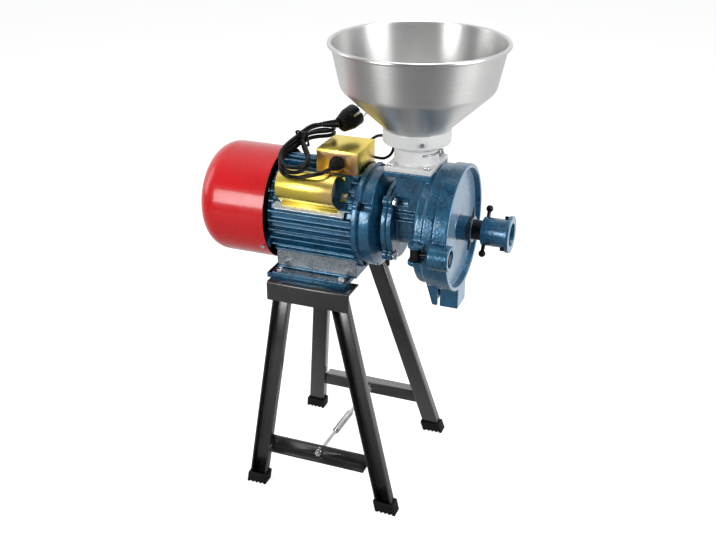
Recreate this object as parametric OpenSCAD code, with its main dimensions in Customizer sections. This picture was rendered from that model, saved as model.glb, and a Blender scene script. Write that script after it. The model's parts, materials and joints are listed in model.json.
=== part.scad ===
// Electric grain mill: a disc mill bolted to the nose of a fan-cooled motor, with a
// steel hopper above it, on a four-legged pressed-steel stand.
// +X runs along the shaft towards the adjusting knob, +Z is up, the floor is z = 0.

/* [Stand] */
// Height of the top of the stand's rails
stand_h = 398; // [330:1:480]
// Length of each top rail
rail_l = 153; // [140:1:200]
// Depth of the top rail's upright web
rail_h = 35; // [25:1:50]
// Width of the top rail's flat flange
rail_w = 47; // [40:1:60]
// Distance across the outsides of the two top rails
rail_span = 208; // [200:1:230]
// How far the rails sit ahead of the tray's middle
rail_shift = 10.5; // [5:0.5:15]
// Thickness of the stand's sheet steel
steel_t = 3; // [2:0.5:4]
// Width of a leg's web
leg_w = 31; // [26:1:38]
// Depth of a leg's channel
leg_d = 18; // [14:1:22]
// Pitch of the leg tops along the shaft
leg_top_pitch = 97; // [90:1:110]
// Pitch of the feet along the shaft
foot_pitch_x = 254; // [220:1:290]
// Pitch of the feet across the shaft
foot_pitch_y = 278; // [250:1:310]
// How far the feet sit ahead of the leg tops
foot_shift = 36; // [20:1:45]
// Height of a rubber foot cap
cap_h = 20; // [15:1:28]
// Wall of a rubber foot cap
cap_wall = 2.6; // [2:0.1:4]
// Height of the cross bars' top edge
bar_z = 98; // [80:1:140]
// Depth of a cross bar's upright leg
bar_h = 24; // [18:1:30]
// Width of a cross bar's flat leg
bar_w = 20; // [15:1:26]
// Diameter of the tie rod between the cross bars
rod_d = 6; // [5:0.5:8]

/* [Motor] */
// Height of the shaft above the base tray's floor
shaft_h = 106; // [102:1:120]
// Length of the base tray
tray_l = 145; // [135:1:160]
// Width of the base tray
tray_w = 174; // [166:1:184]
// Height of the base tray's lip
tray_h = 9; // [6:0.5:14]
// Thickness of the base tray
tray_t = 2.5; // [2:0.5:3.5]
// Length of the finned housing
housing_l = 152; // [140:1:180]
// Radius over the housing's fins
fin_r = 89; // [85:1:95]
// Depth of a cooling fin
fin_depth = 11; // [6:0.5:13]
// Thickness of a cooling fin
fin_t = 3.6; // [2:0.1:5]
// Number of cooling fins round the housing
fin_count = 32; // [24:1:40]
// Bore of the housing, as a radius
bore_r = 70; // [66:1:72]
// Pitch of the foot bolts along the shaft
foot_bolt_x = 115; // [100:1:118]
// Pitch of the foot bolts across the shaft
foot_bolt_y = 157; // [155:0.5:158]
// Radius of the fan cowl
cowl_r = 98; // [95:1:105]
// Length of the fan cowl
cowl_l = 133; // [120:1:150]
// Sheet thickness of the fan cowl
cowl_t = 1.5; // [1:0.1:2.5]
// Depth of the cowl's rounded shoulder
cowl_round = 40; // [30:1:50]
// Radius of the motor shaft in its bearings
shaft_r = 12.5; // [11:0.5:14]
// Radius of the rotor core
rotor_r = 44; // [38:1:48]

/* [Electrical] */
// Length of the terminal box
box_l = 74; // [60:1:90]
// Width of the terminal box across the shaft
box_w = 80; // [70:1:92]
// Height of the terminal box
box_h = 40; // [32:1:50]
// Sheet thickness of the plated boxes
plate_t = 1.5; // [1:0.1:2]
// Radius of the capacitor cover
cap_cover_r = 26; // [22:1:30]
// Diameter of the power cord
cord_d = 6.6; // [6:0.1:8]
// Diameter of the plug's round body
plug_d = 38; // [36:1:40]

/* [Mill] */
// Radius of the disc housing
mill_r = 105; // [98:1:112]
// Length of the disc housing along the shaft
mill_l = 38; // [34:1:46]
// Radius of the front cover's rim
cover_r = 108; // [100:1:114]
// Length of the front cover along the shaft
cover_l = 25; // [22:1:32]
// Depth of the dished face of the front cover
dish = 11; // [8:1:13]
// Radius of the feed barrel outside
barrel_r = 40; // [37:1:44]
// Length of the feed barrel
barrel_l = 46; // [42:1:54]
// Radius of the flange that bolts to the motor
flange_r = 66; // [62:1:70]
// Thickness of each of the two bolted flanges
flange_t = 9; // [7:0.5:12]
// Radius of a grinding disc
disc_r = 78; // [70:1:84]
// Thickness of a grinding disc
disc_t = 10; // [8:0.5:12]
// Gap between the grinding discs at rest
grind_gap = 0.8; // [0.5:0.1:1.5]
// Depth of the discharge spout below the disc housing
spout_h = 37; // [30:1:50]
// Width of the discharge spout
spout_w = 46; // [38:1:56]
// Radius of the auger's flight
auger_r = 26; // [22:0.5:28]

/* [Adjusting knob] */
// Radius of the hub on the cover
hub_r = 21; // [18:1:24]
// How far the hub stands ahead of the cover's rim
hub_l = 7; // [5:1:10]
// Radius of the adjusting screw
screw_r = 17; // [14:1:18]
// Pitch of the adjusting thread
screw_pitch = 2; // [1.5:0.5:3]
// Thickness of the lock ring
lock_t = 8; // [6:1:12]
// Bare thread between the lock ring and the knob
thread_l = 17; // [14:1:24]
// Length of the knob's barrel
knob_l = 42; // [32:1:50]
// Radius of the knob's barrel
knob_r = 24; // [21:1:27]
// Radius of the knob's end flange
knob_flange_r = 31; // [28:1:36]
// Thickness of the knob's end flange
knob_flange_t = 6; // [4:1:9]
// Distance of each arm's ball from the shaft's axis
arm_reach = 38; // [35:1:48]
// Radius of each arm's ball
ball_r = 6; // [5:0.5:7]

/* [Hopper] */
// Inner radius of the hopper's mouth
hopper_r = 139; // [125:1:150]
// Inner radius of the hopper at the bend
bend_r = 125; // [112:1:132]
// Radius of the hopper's bottom
hopper_bottom_r = 52; // [48:1:56]
// Height of the hopper's upper wall
hopper_wall_h = 70; // [55:1:90]
// Height of the hopper's cone
hopper_cone_h = 68; // [55:1:85]
// Sheet thickness of the hopper
hopper_t = 1.2; // [0.8:0.1:2]
// Radius of the hopper's rolled rim
rim_r = 3.6; // [3:0.1:4.5]
// Height of the white neck from its base to the rim of its cup
neck_h = 65; // [58:1:78]
// Radius of the white neck
neck_r = 37; // [34:1:40]
// Length of the neck's base along the shaft
neck_base_l = 80; // [76:1:84]
// Width of the neck's base
neck_base_w = 96; // [88:1:104]
// Thickness of the neck's base
neck_base_t = 8; // [6:1:11]

/* [Hidden] */
$fn = 48;

// Overrun of every cut past the face it leaves
over = 1;
// Clearance of loose fits, of seats and of running fits
loose = 0.4;
seat = 0.3;
running = 0.05;

// Stations along the shaft, worked out from the middle of the base tray at motor_x
housing_mid = 8;
shield_l = 44;
cowl_gap = 4;
housing_back = housing_mid - housing_l / 2;
housing_front = housing_mid + housing_l / 2;
rear_reach = cowl_gap + cowl_l - housing_back;
mill_back = housing_front + shield_l + 2 * flange_t + barrel_l;
cover_back = mill_back + mill_l;
cover_front = cover_back + cover_l;
hub_front = cover_front + hub_l;
lock_front = hub_front + seat + lock_t;
knob_back = lock_front + thread_l;
knob_front = knob_back + knob_l;
front_reach = knob_front + knob_flange_t;
motor_x = (rear_reach - front_reach) / 2;
function at(x) = motor_x + x;

housing_x0 = at(housing_back);
housing_x1 = at(housing_front);
flange_x = housing_x1 + shield_l;
mill_x0 = at(mill_back);
mill_x1 = at(cover_back);
cover_x1 = at(cover_front);
tray_z = stand_h + tray_t;
axis_z = tray_z + shaft_h;
body_r = fin_r - fin_depth;

blue = [0.17, 0.38, 0.58];
black = [0.1, 0.1, 0.11];
steel = [0.72, 0.73, 0.74];
gold = [0.82, 0.72, 0.36];
white = [0.93, 0.93, 0.92];
copper = [0.72, 0.42, 0.24];

module on_shaft(x) {
  translate([x, 0, axis_z]) rotate([0, 90, 0]) children();
}
module ring(r1, r0, l) {
  difference() {
    cylinder(r = r1, h = l);
    translate([0, 0, -over]) cylinder(r = r0, h = l + 2 * over);
  }
}
module hex(af, h) {
  cylinder(d = af / cos(30), h = h, $fn = 6);
}
// A screw along +Z whose head starts at z = 0 and whose shank runs down
module bolt(d, head_af, head_h, shank) {
  hex(head_af, head_h);
  translate([0, 0, -shank]) cylinder(d = d, h = shank + head_h / 2, $fn = 24);
}
module block(x0, x1, y0, y1, z0, z1) {
  translate([x0, y0, z0]) cube([x1 - x0, y1 - y0, z1 - z0]);
}
module mirrored() {
  children();
  mirror([0, 1, 0]) children();
}

// The stand
web_low_z = stand_h - rail_h;
leg_seat_y = rail_span / 2 - steel_t - leg_d / 2 - seat;
cap_floor = 6;
tread_d = 2;
foot_bolt_d = 8;
foot_bolt_af = 10;
foot_bolt_head = 6;
foot_mid = 5.5;
foot_rise = 1.5;
foot_t = tray_h - tray_t + foot_rise;

module at_foot_bolts() {
  for (sx = [-1, 1], sy = [-1, 1])
    translate([at(foot_mid + sx * foot_bolt_x / 2), sy * foot_bolt_y / 2, 0]) children();
}
module foot_bolt_holes(r) {
  at_foot_bolts() translate([0, 0, web_low_z]) cylinder(r = r, h = rail_h + tray_h + foot_t);
}
// The near rail is drawn, and the far one is its mirror image
module stand_rail() {
  x0 = at(rail_shift - rail_l / 2);
  x1 = at(rail_shift + rail_l / 2);
  y0 = -rail_span / 2;
  color(black) difference() {
    union() {
      block(x0, x1, y0, y0 + rail_w, stand_h - steel_t, stand_h);
      block(x0, x1, y0, y0 + steel_t, web_low_z, stand_h);
    }
    foot_bolt_holes(foot_bolt_d / 2 + seat);
  }
}
module stand_rail_front() { stand_rail(); }
module stand_rail_back() { mirror([0, 1, 0]) stand_rail(); }

// Middle of the near leg on side s at height z, with s = 1 towards the mill
function leg_x(s, z) = rail_shift + s * leg_top_pitch / 2
  + (foot_shift + s * (foot_pitch_x - leg_top_pitch) / 2) * (stand_h - z) / stand_h;
function leg_y(z) = leg_seat_y + (foot_pitch_y / 2 - leg_seat_y) * (web_low_z - z) / web_low_z;

// Lays its child, drawn along +Z, along the near leg on side s
module along_leg(s) {
  foot = [at(leg_x(s, 0)), -leg_y(0), 0];
  run = [at(leg_x(s, stand_h)), -leg_y(stand_h), stand_h] - foot;
  translate(foot) rotate([asin(-run[1] / norm(run)), atan2(run[0], run[2]), 0]) children();
}
module leg_bar(s, grow) {
  w = leg_w + 2 * grow;
  d = leg_d + 2 * grow;
  along_leg(s) translate([-w / 2, -d / 2, -leg_w]) cube([w, d, stand_h + 2 * leg_w]);
}
module slab(z0, z1) {
  block(at(-stand_h), at(stand_h), -stand_h, stand_h, z0, z1);
}
module leg(s) {
  color(black) intersection() {
    difference() {
      leg_bar(s, 0);
      along_leg(s) translate([-leg_w / 2 + steel_t, -leg_d / 2 - steel_t, -leg_w])
        cube([leg_w - 2 * steel_t, leg_d, stand_h + 2 * leg_w]);
    }
    slab(cap_floor, stand_h - steel_t);
  }
}
module leg_front_left() { leg(-1); }
module leg_front_right() { leg(1); }
module leg_back_left() { mirror([0, 1, 0]) leg(-1); }
module leg_back_right() { mirror([0, 1, 0]) leg(1); }

module foot_cap(s) {
  pitch = leg_w / 4;
  difference() {
    intersection() {
      leg_bar(s, cap_wall + seat);
      slab(0, cap_h);
    }
    intersection() {
      leg_bar(s, seat);
      slab(cap_floor, cap_h + over);
    }
    for (i = [-1.5 : 1 : 1.5])
      translate([at(leg_x(s, 0)) + i * pitch - pitch / 4, -foot_pitch_y, -over])
        cube([pitch / 2, foot_pitch_y, tread_d + over]);
  }
}
module foot_caps() {
  color(black) for (s = [-1, 1]) mirrored() foot_cap(s);
}

// Cross bars are angles, cut slanting where they butt against the legs
back_bar_drop = 12;
module cross_bar(web_z0, web_z1, flange_z, side) {
  y = -leg_y(web_z1);
  x0 = at(leg_x(-1, web_z0));
  x1 = at(leg_x(1, web_z0));
  color(black) difference() {
    union() {
      block(x0, x1, y - steel_t / 2, y + steel_t / 2, web_z0, web_z1);
      block(x0, x1, y - bar_w, y + steel_t / 2, flange_z, flange_z + steel_t);
    }
    for (s = [-1, 1]) {
      leg_bar(s, 0);
      bar_end(s, web_z0, y);
    }
    at_rod(side) cylinder(d = rod_d + 2 * loose, h = foot_pitch_y, center = true);
  }
}
// Clears what of a bar's flange would run past the leg's outer face
module bar_end(s, z, y) {
  x = at(leg_x(s, bar_z) - s * leg_w / 2);
  block(min(x, x + s * leg_w), max(x, x + s * leg_w), y - 2 * bar_w, y, z - bar_h, bar_z + over);
}
// Lays its child, drawn along +Z, along the tie rod towards its near end; side -1 is
// for what is mirrored afterwards
module at_rod(side = 1) {
  translate([at(rod_x), 0, rod_z]) rotate([90 - side * rod_tilt, 0, 0]) children();
}
rod_x = 38;
rod_z = 77;
rod_tilt = 3.1;
rod_nut_af = 10;
rod_nut_h = 5;
washer_r = 6.5;
washer_t = 1.5;
sleeve_l = 72;
sleeve_y = 12;
module cross_bar_front() { cross_bar(bar_z - bar_h, bar_z, bar_z - bar_h, 1); }
module cross_bar_back() {
  top = bar_z - back_bar_drop;
  mirror([0, 1, 0]) cross_bar(top - bar_h, top, top - steel_t, -1);
}
// Where a nut's washer starts, outside the web of the bar whose top edge is at z
function nut_start(z) = (leg_y(z) + steel_t / 2) / cos(rod_tilt) + washer_r * tan(rod_tilt);
rod_end = nut_start(bar_z) + washer_t + rod_nut_h + rod_d / 2;
module tie_rod() {
  color(steel) at_rod() cylinder(d = rod_d, h = 2 * rod_end, center = true);
}
module rod_sleeve() {
  color(steel) at_rod() translate([0, 0, sleeve_y - sleeve_l / 2])
    ring(rod_d, rod_d / 2 + running, sleeve_l);
}
module rod_nut(start) {
  translate([0, 0, start]) ring(washer_r, rod_d / 2 + running, washer_t);
  translate([0, 0, start + washer_t]) difference() {
    hex(rod_nut_af, rod_nut_h);
    translate([0, 0, -over]) cylinder(r = rod_d / 2 + running, h = rod_nut_h + 2 * over);
  }
}
module tie_rod_nuts() {
  back = nut_start(bar_z - back_bar_drop);
  web = steel_t / cos(rod_tilt) + 2 * washer_r * tan(rod_tilt);
  color(steel) at_rod() {
    rod_nut(nut_start(bar_z));
    mirror([0, 0, 1]) rod_nut(back);
    rod_nut(web - back);
  }
}

// The base tray and the motor's housing
module motor_base_tray() {
  x = tray_l / 2;
  y = tray_w / 2;
  color(blue) difference() {
    block(at(-x), at(x), -y, y, stand_h, stand_h + tray_h);
    block(at(tray_t - x), at(x - tray_t), tray_t - y, y - tray_t, tray_z, tray_z + tray_h);
    foot_bolt_holes(foot_bolt_d / 2 + seat);
  }
}
module motor_foot_bolts() {
  color(steel) at_foot_bolts() translate([0, 0, tray_z + foot_t])
    bolt(foot_bolt_d, foot_bolt_af, foot_bolt_head, foot_t + tray_t + steel_t);
}

skirt_y = 60;
skirt_t = 6;
skirt_in = 3;
foot_y = 84;
foot_in = 7.5;
pad_angle = 50.5;
pad_rise = 1;
pad_r = body_r + pad_rise;
pad_w = 74;
pad_in0 = 11;
pad_in1 = 14;
pad_x0 = housing_back + pad_in0;
pad_x1 = housing_front - pad_in1;
box_in = 42;
box_x = housing_front - box_in;
box_sink = 7.5;
box_z = axis_z + fin_r - box_sink;
box_pad = 2;
// Lays its child on the slanted pad: x along the shaft, z outwards from the shaft
module on_pad() {
  translate([0, 0, axis_z]) rotate([pad_angle, 0, 0]) children();
}
module fins() {
  clear = asin(skirt_y / fin_r);
  on_shaft(housing_x0) for (i = [0 : fin_count - 1]) {
    a = i * 360 / fin_count;
    if (min(a, 360 - a) > clear)
      rotate([0, 0, a]) translate([body_r - fin_t, -fin_t / 2, 0])
        cube([fin_depth + fin_t, fin_t, housing_l]);
  }
}
module motor_housing() {
  y = skirt_y;
  z0 = tray_z + foot_t;
  x0 = housing_x0 + skirt_in;
  foot_x0 = at(foot_in - tray_l / 2);
  foot_x1 = at(tray_l / 2 - tray_t - loose);
  color(blue) difference() {
    union() {
      on_shaft(housing_x0) cylinder(r = body_r, h = housing_l);
      fins();
      on_pad() block(at(pad_x0), at(pad_x1), -pad_w / 2, pad_w / 2, bore_r, pad_r);
      block(at(box_x - box_l / 2 - box_pad), at(box_x + box_l / 2 + box_pad),
        -box_w / 2 - box_pad, box_w / 2 + box_pad, axis_z + body_r / 2, box_z);
      mirrored() {
        block(x0, housing_x1, -y, skirt_t - y, z0, axis_z - body_r / 4);
        block(foot_x0, foot_x1, -foot_y, skirt_t - y, tray_z, z0);
      }
      for (x = [x0, housing_x1 - skirt_t])
        block(x, x + skirt_t, -y, y, z0, axis_z - body_r / 2);
    }
    on_shaft(housing_x0 - over) cylinder(r = bore_r, h = housing_l + 2 * over);
    on_pad() block(at(pad_x0), at(pad_x1), -pad_w / 2, pad_w / 2, pad_r, 2 * pad_r);
    block(at(box_x - box_l / 2 - box_pad), at(box_x + box_l / 2 + box_pad),
      -box_w / 2 - box_pad, box_w / 2 + box_pad, box_z, 2 * box_z);
    foot_bolt_holes(foot_bolt_d / 2 + seat);
  }
}

// Inside the motor
core_in = 23.5;
core_x0 = housing_back + core_in;
core_x1 = housing_front - core_in;
core_l = core_x1 - core_x0;
air_gap = 1;
wind_l = 15;
wind_gap = 4;
wind_r0 = rotor_r + wind_gap;
wind_r1 = bore_r - air_gap - wind_gap;
bearing_r = 26;
bearing_l = 15;
bearing_wall = 8;
module stator_core() {
  color(steel) on_shaft(at(core_x0)) ring(bore_r - seat, rotor_r + air_gap, core_l);
}
module stator_windings() {
  color(copper) {
    on_shaft(at(core_x1)) ring(wind_r1, wind_r0, wind_l);
    on_shaft(at(core_x0 - wind_l)) ring(wind_r1, wind_r0, wind_l);
  }
}
module rotor_core() {
  color(steel) on_shaft(at(core_x0)) ring(rotor_r, shaft_r + running, core_l);
}
nose_r = 12;
nose_in = 6;
fan_l = 20;
fan_x0 = housing_back - cowl_gap - cowl_l + cowl_round;
fan_gap = 20;
fan_r = cowl_r - fan_gap;
fan_t = 3;
fan_hub_r = 20;
blade_count = 9;
module motor_shaft() {
  nose0 = flange_x + 2 * flange_t;
  color(steel) {
    on_shaft(at(fan_x0 - fan_t)) cylinder(r = shaft_r, h = nose0 - at(fan_x0 - fan_t));
    on_shaft(nose0 - over) cylinder(r = nose_r, h = runner_x + nose_in - nose0 + over);
  }
}
module cooling_fan() {
  color(black) on_shaft(at(fan_x0)) difference() {
    union() {
      cylinder(r = fan_hub_r, h = fan_l);
      translate([0, 0, fan_l - fan_t]) cylinder(r = fan_r, h = fan_t);
      for (i = [1 : blade_count]) rotate([0, 0, i * 360 / blade_count])
        translate([fan_hub_r - fan_t, -fan_t / 2, 0]) cube([fan_r - fan_hub_r, fan_t, fan_l]);
    }
    translate([0, 0, -over]) cylinder(r = shaft_r + running, h = fan_l + 2 * over);
  }
}
rear_plate = 16;
spigot_l = 6;
spigot_t = 6;
rear_bearing_x = housing_x0 - rear_plate;
front_bearing_x = flange_x - bearing_l;
module motor_bearings() {
  color(steel) for (x = [rear_bearing_x, front_bearing_x])
    on_shaft(x) ring(bearing_r, shaft_r + running, bearing_l);
}
screw_d = 4;
ear_w = 14;
rear_web = 5;
module rear_end_shield() {
  color(blue) difference() {
    union() {
      on_shaft(housing_x0 - rear_plate) cylinder(r = bearing_r + bearing_wall, h = rear_plate);
      on_shaft(housing_x0 - rear_web) cylinder(r = body_r, h = rear_web);
      on_shaft(housing_x0 - rear_web / 2)
        ring(bore_r - seat, bore_r - seat - spigot_t, spigot_l + rear_web / 2);
      on_shaft(housing_x0 - rear_plate) for (a = cowl_screw_turns)
        rotate([0, 0, a]) translate([bearing_r, -ear_w / 2, 0])
          cube([cowl_r - cowl_t - seat - over - bearing_r, ear_w, rear_plate - over]);
    }
    on_shaft(rear_bearing_x - over) cylinder(r = bearing_r + running, h = bearing_l + over);
    on_shaft(housing_x0 - rear_plate - over) cylinder(r = shaft_r + loose, h = rear_plate + 2 * over);
    at_cowl_screws() cylinder(d = screw_d + 2 * seat, h = cowl_r);
  }
}

// Cowl screws stand radially in the rear shield's ears
cowl_screw_in = 12;
cowl_screw_turns = [122, 302];
cowl_head = 3;
module at_cowl_screws() {
  on_shaft(housing_x0 - cowl_screw_in) for (a = cowl_screw_turns) rotate([0, 0, a])
    rotate([0, 90, 0]) children();
}
module cowl_screws() {
  color(steel) at_cowl_screws() {
    translate([0, 0, cowl_r - ear_w]) cylinder(d = screw_d, h = ear_w + cowl_head / 2);
    translate([0, 0, cowl_r + seat]) cylinder(d = 2 * screw_d, h = cowl_head);
  }
}
// Half outline of the cowl, grown inwards by t: radius against distance from its rim
module cowl_outline(t) {
  r = cowl_round - t;
  square([cowl_r - cowl_round, cowl_l - t]);
  square([cowl_r - t, cowl_l - cowl_round]);
  translate([cowl_r - cowl_round, cowl_l - cowl_round]) intersection() {
    circle(r = r, $fn = 96);
    square(cowl_round);
  }
}
vent_t = 5;
vent_r0 = 14;
vent_count = 20;
module fan_cowl() {
  color("red") difference() {
    on_shaft(housing_x0 - cowl_gap) mirror([0, 0, 1]) difference() {
      rotate_extrude() cowl_outline(0);
      rotate_extrude() cowl_outline(cowl_t);
      translate([0, 0, -over]) cylinder(r = cowl_r - cowl_t, h = 2 * over);
      for (i = [0 : vent_count - 1]) rotate([0, 0, i * 360 / vent_count])
        translate([vent_r0 + i % 2 * vent_r0, -vent_t / 2, cowl_l - 2 * vent_t])
          cube([cowl_r - cowl_round - vent_r0 - i % 2 * vent_r0, vent_t, 3 * vent_t]);
    }
    at_cowl_screws() cylinder(d = screw_d + 2 * seat, h = 2 * cowl_r);
  }
}

// Front end shield, turned round the shaft: radius against distance from the housing
lip_l = 9;
groove_d = 6;
groove_l = 3;
band_d = 4;
band_l = 18;
band_end = lip_l + groove_l + band_l;
shoulder_r = 60;
waist_r = 55;
waist_l = 4;
bell_out = 11;
bell_l = 6;
shield_wall = 8;
seal_r = 20;
bolt_ring_r = 68;
lug_r = 9;
lug_reach = 2;
shield_bolt_r = 62;
module shield_outline() {
  polygon([
    [0, -spigot_l], [bore_r - seat, -spigot_l], [bore_r - seat, 0], [fin_r, 0],
    [fin_r, lip_l], [fin_r - groove_d, lip_l], [fin_r - groove_d, lip_l + groove_l],
    [fin_r - band_d, lip_l + groove_l], [fin_r - band_d, band_end],
    [shoulder_r + bell_out, band_end + bell_l],
    [shoulder_r, shield_l - waist_l], [waist_r, shield_l - waist_l], [waist_r, shield_l],
    [flange_r, shield_l], [flange_r, shield_l + flange_t], [0, shield_l + flange_t]
  ]);
}
module shield_hollow() {
  r = bore_r - seat - spigot_t;
  polygon([
    [0, -spigot_l - over], [r, -spigot_l - over], [r, band_end - shield_wall],
    [bearing_r + bearing_wall, band_end - over],
    [bearing_r + running, band_end - over], [bearing_r + running, shield_l],
    [seal_r + running, shield_l], [seal_r + running, shield_l + flange_t + over],
    [0, shield_l + flange_t + over]
  ]);
}
module at_flange_bolts(x) {
  on_shaft(x) for (a = [45 : 90 : 315]) rotate([0, 0, a]) translate([bolt_ring_r, 0, 0])
    children();
}
module flange_lugs(x) {
  at_flange_bolts(x) {
    cylinder(r = lug_r, h = flange_t);
    translate([-2 * lug_r, -lug_r, 0]) cube([2 * lug_r, 2 * lug_r, flange_t]);
  }
}
flange_bolt_d = 8;
flange_nut_af = 13;
flange_nut_h = 7;
// Depth of the spot faces under the flange bolts' heads
spot = 0.5;
// End-shield bolts lie behind the band and reach into the housing's wall
shield_bolt_d = 6;
shield_bolt_af = 10;
shield_bolt_h = 4;
shield_bolt_l = 24;
module at_shield_bolts() {
  on_shaft(housing_x1 + lip_l) for (a = [60 : 90 : 330]) rotate([0, 0, a])
    translate([fin_r - shield_bolt_af / 2, 0, 0]) children();
}
module shield_bosses() {
  on_shaft(housing_x1) for (a = [60 : 90 : 330]) rotate([0, 0, a])
    translate([fin_r - shield_bolt_af / 2, 0, 0]) cylinder(d = shield_bolt_af + groove_d, h = lip_l);
}
module front_end_shield() {
  color(blue) difference() {
    union() {
      on_shaft(housing_x1) rotate_extrude() shield_outline();
      shield_bosses();
      flange_lugs(flange_x);
    }
    on_shaft(housing_x1) rotate_extrude() shield_hollow();
    at_flange_bolts(flange_x - over) cylinder(d = flange_bolt_d + 2 * seat, h = 3 * flange_t);
    at_shield_bolts() cylinder(d = shield_bolt_af + 2 * over, h = groove_l + band_l + over);
    at_shield_bolts() translate([0, 0, -lip_l - over])
      cylinder(d = shield_bolt_d + 2 * seat, h = lip_l + 2 * over);
  }
}
module end_shield_bolts() {
  color(black) at_shield_bolts()
    bolt(shield_bolt_d, shield_bolt_af, shield_bolt_h, lip_l - seat);
}

// Capacitor and its cover, on the slanted pad
cap_in0 = 23;
cap_in1 = 27;
cap_x0 = housing_back + cap_in0;
cap_cover_l = housing_l - cap_in0 - cap_in1;
cap_skirt_h = 21;
cap_z = pad_r + cap_skirt_h;
cap_flange = 6;
cap_up = 2;
capacitor_r = 20;
capacitor_spare = 14;
capacitor_l = cap_cover_l - capacitor_spare;
cap_screw_d = 4;
cap_screw_h = 2.5;
ear_l = 11;
ear_half = 7;
module on_cap() {
  on_pad() translate([0, cap_up, 0]) children();
}
module capacitor_shape(r, x0, x1, z0) {
  intersection() {
    translate([at(x0), 0, cap_z]) rotate([0, 90, 0]) cylinder(r = r, h = x1 - x0);
    block(at(x0), at(x1), -r, r, cap_z - over, cap_z + r);
  }
  block(at(x0), at(x1), -r, r, z0, cap_z);
}
module at_cap_ears(z) {
  for (x = [cap_x0 - ear_l / 2, cap_x0 + cap_cover_l + ear_l / 2])
    translate([at(x), -ear_half / 2, z]) children();
}
module capacitor_cover() {
  x1 = cap_x0 + cap_cover_l;
  w = cap_cover_r + cap_flange;
  color(gold) on_cap() difference() {
    union() {
      capacitor_shape(cap_cover_r, cap_x0, x1, pad_r);
      block(at(cap_x0), at(x1), -w, w, pad_r, pad_r + plate_t);
      block(at(cap_x0 - ear_l), at(x1 + ear_l), -1.5 * ear_half, ear_half / 2, pad_r,
        pad_r + plate_t);
    }
    capacitor_shape(cap_cover_r - plate_t, cap_x0 + plate_t, x1 + over, pad_r - over);
    block(at(x1 - plate_t), at(x1 + over), -cap_cover_r + plate_t, cap_cover_r - plate_t,
      pad_r - over, pad_r + plate_t + over);
    at_cap_ears(pad_r - over) cylinder(d = cap_screw_d + 2 * seat, h = plate_t + 2 * over);
  }
}
module capacitor() {
  color(black) on_cap() translate([at(cap_x0 + plate_t + seat), 0, pad_r + capacitor_r + seat])
    rotate([0, 90, 0]) cylinder(r = capacitor_r, h = capacitor_l);
}
module capacitor_screws() {
  color(steel) on_cap() at_cap_ears(pad_r + plate_t)
    bolt(cap_screw_d, 2 * cap_screw_d, cap_screw_h, plate_t);
}

// Terminal box
pan_h = 8;
gland_drop = 21;
gland_z = box_h - gland_drop;
gland_r = 12;
gland_neck_r = 7;
gland_l = 22;
gland_collar = 6;
box_x0 = at(box_x - box_l / 2);
box_x1 = at(box_x + box_l / 2);
lead_d = 5;
lead_in = 22;
lead_x = box_x + lead_in;
lead_z0 = 10;
lead_z1 = 29;
module terminal_box_base() {
  g = plate_t + seat;
  y = box_w / 2;
  color(gold) difference() {
    block(box_x0 + g, box_x1 - g, g - y, y - g, box_z, box_z + pan_h);
    block(box_x0 + g + plate_t, box_x1 - g - plate_t, g + plate_t - y, y - g - plate_t,
      box_z + plate_t, box_z + pan_h + over);
    block(at(lead_x) - lead_d, at(lead_x) + lead_d, y - 2 * plate_t - g, y, box_z + plate_t,
      box_z + pan_h + over);
  }
}
module terminal_box_cover() {
  y = box_w / 2;
  color(gold) difference() {
    block(box_x0, box_x1, -y, y, box_z, box_z + box_h);
    block(box_x0 + plate_t, box_x1 - plate_t, plate_t - y, y - plate_t, box_z - over,
      box_z + box_h - plate_t);
    translate([at(box_x), 0, box_z + gland_z]) rotate([90, 0, 0])
      cylinder(r = gland_neck_r + seat, h = box_w);
    for (z = [lead_z0, lead_z1]) translate([at(lead_x), y + over, box_z + z]) rotate([90, 0, 0])
      cylinder(r = lead_d / 2 + seat, h = plate_t + 2 * over);
  }
}
stud_r = 2.5;
stud_h = 8;
board_h = 9;
module terminal_board() {
  l = box_l / 2;
  w = box_w / 3;
  z = box_z + plate_t;
  color(black) {
    translate([at(box_x) - l / 2, -w / 2, z]) cube([l, w, board_h]);
    for (sx = [-1 : 1], sy = [-1, 1])
      translate([at(box_x) + sx * l / 3, sy * w / 4, z]) cylinder(r = stud_r, h = board_h + stud_h);
  }
}
module cord_gland() {
  color(black) translate([at(box_x), -box_w / 2, box_z + gland_z]) rotate([90, 0, 0]) {
    cylinder(r = gland_r, h = gland_collar);
    translate([0, 0, gland_collar]) cylinder(r1 = gland_r - over, r2 = cord_d / 2 + over,
      h = gland_l);
    translate([0, 0, -plate_t - over]) cylinder(r = gland_neck_r, h = plate_t + 2 * over);
    translate([0, 0, -gland_collar - plate_t]) cylinder(r = gland_r - 2 * over, h = gland_collar);
  }
}

// The mill's body
bore_gap = 2;
bore = auger_r + bore_gap;
rear_wall = 8;
mill_wall = 13;
chamber_r = mill_r - mill_wall;
back_step = 4;
back_r = chamber_r - back_step;
throat_in = 4;
throat_l = barrel_l - 2 * throat_in;
throat_w = 52;
pad_h = mill_r - back_step;
top_z = axis_z + pad_h;
top_t = 10;
hopper_in = 24.5;
hopper_x = mill_back - hopper_in;
disc_x = mill_x0 + rear_wall;
disc_gap = 4;
disc_hole = auger_r + disc_gap;
rib_t = 4;
rib_h = 6;
mill_skin = 5;
clamp_in = 13;
clamp_x = mill_back + clamp_in;
clamp_out = 5;
clamp_y = mill_r + clamp_out;
clamp_drop = 9;
clamp_lug_t = 7;
clamp_lug_z = 11;
clamp_lug_l = 25;
pin_d = 8;
hinge_out = 13;
hinge_y = mill_r + hinge_out;
knuckle_r = 8;
knuckle_z = 10;
spout_in0 = 2;
spout_in1 = 17;
spout_x0 = mill_back + spout_in0;
spout_x1 = mill_back + spout_in1;
gap_in0 = 11.5;
gap_in1 = 7.5;
spout_gap0 = cover_back - gap_in0;
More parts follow.
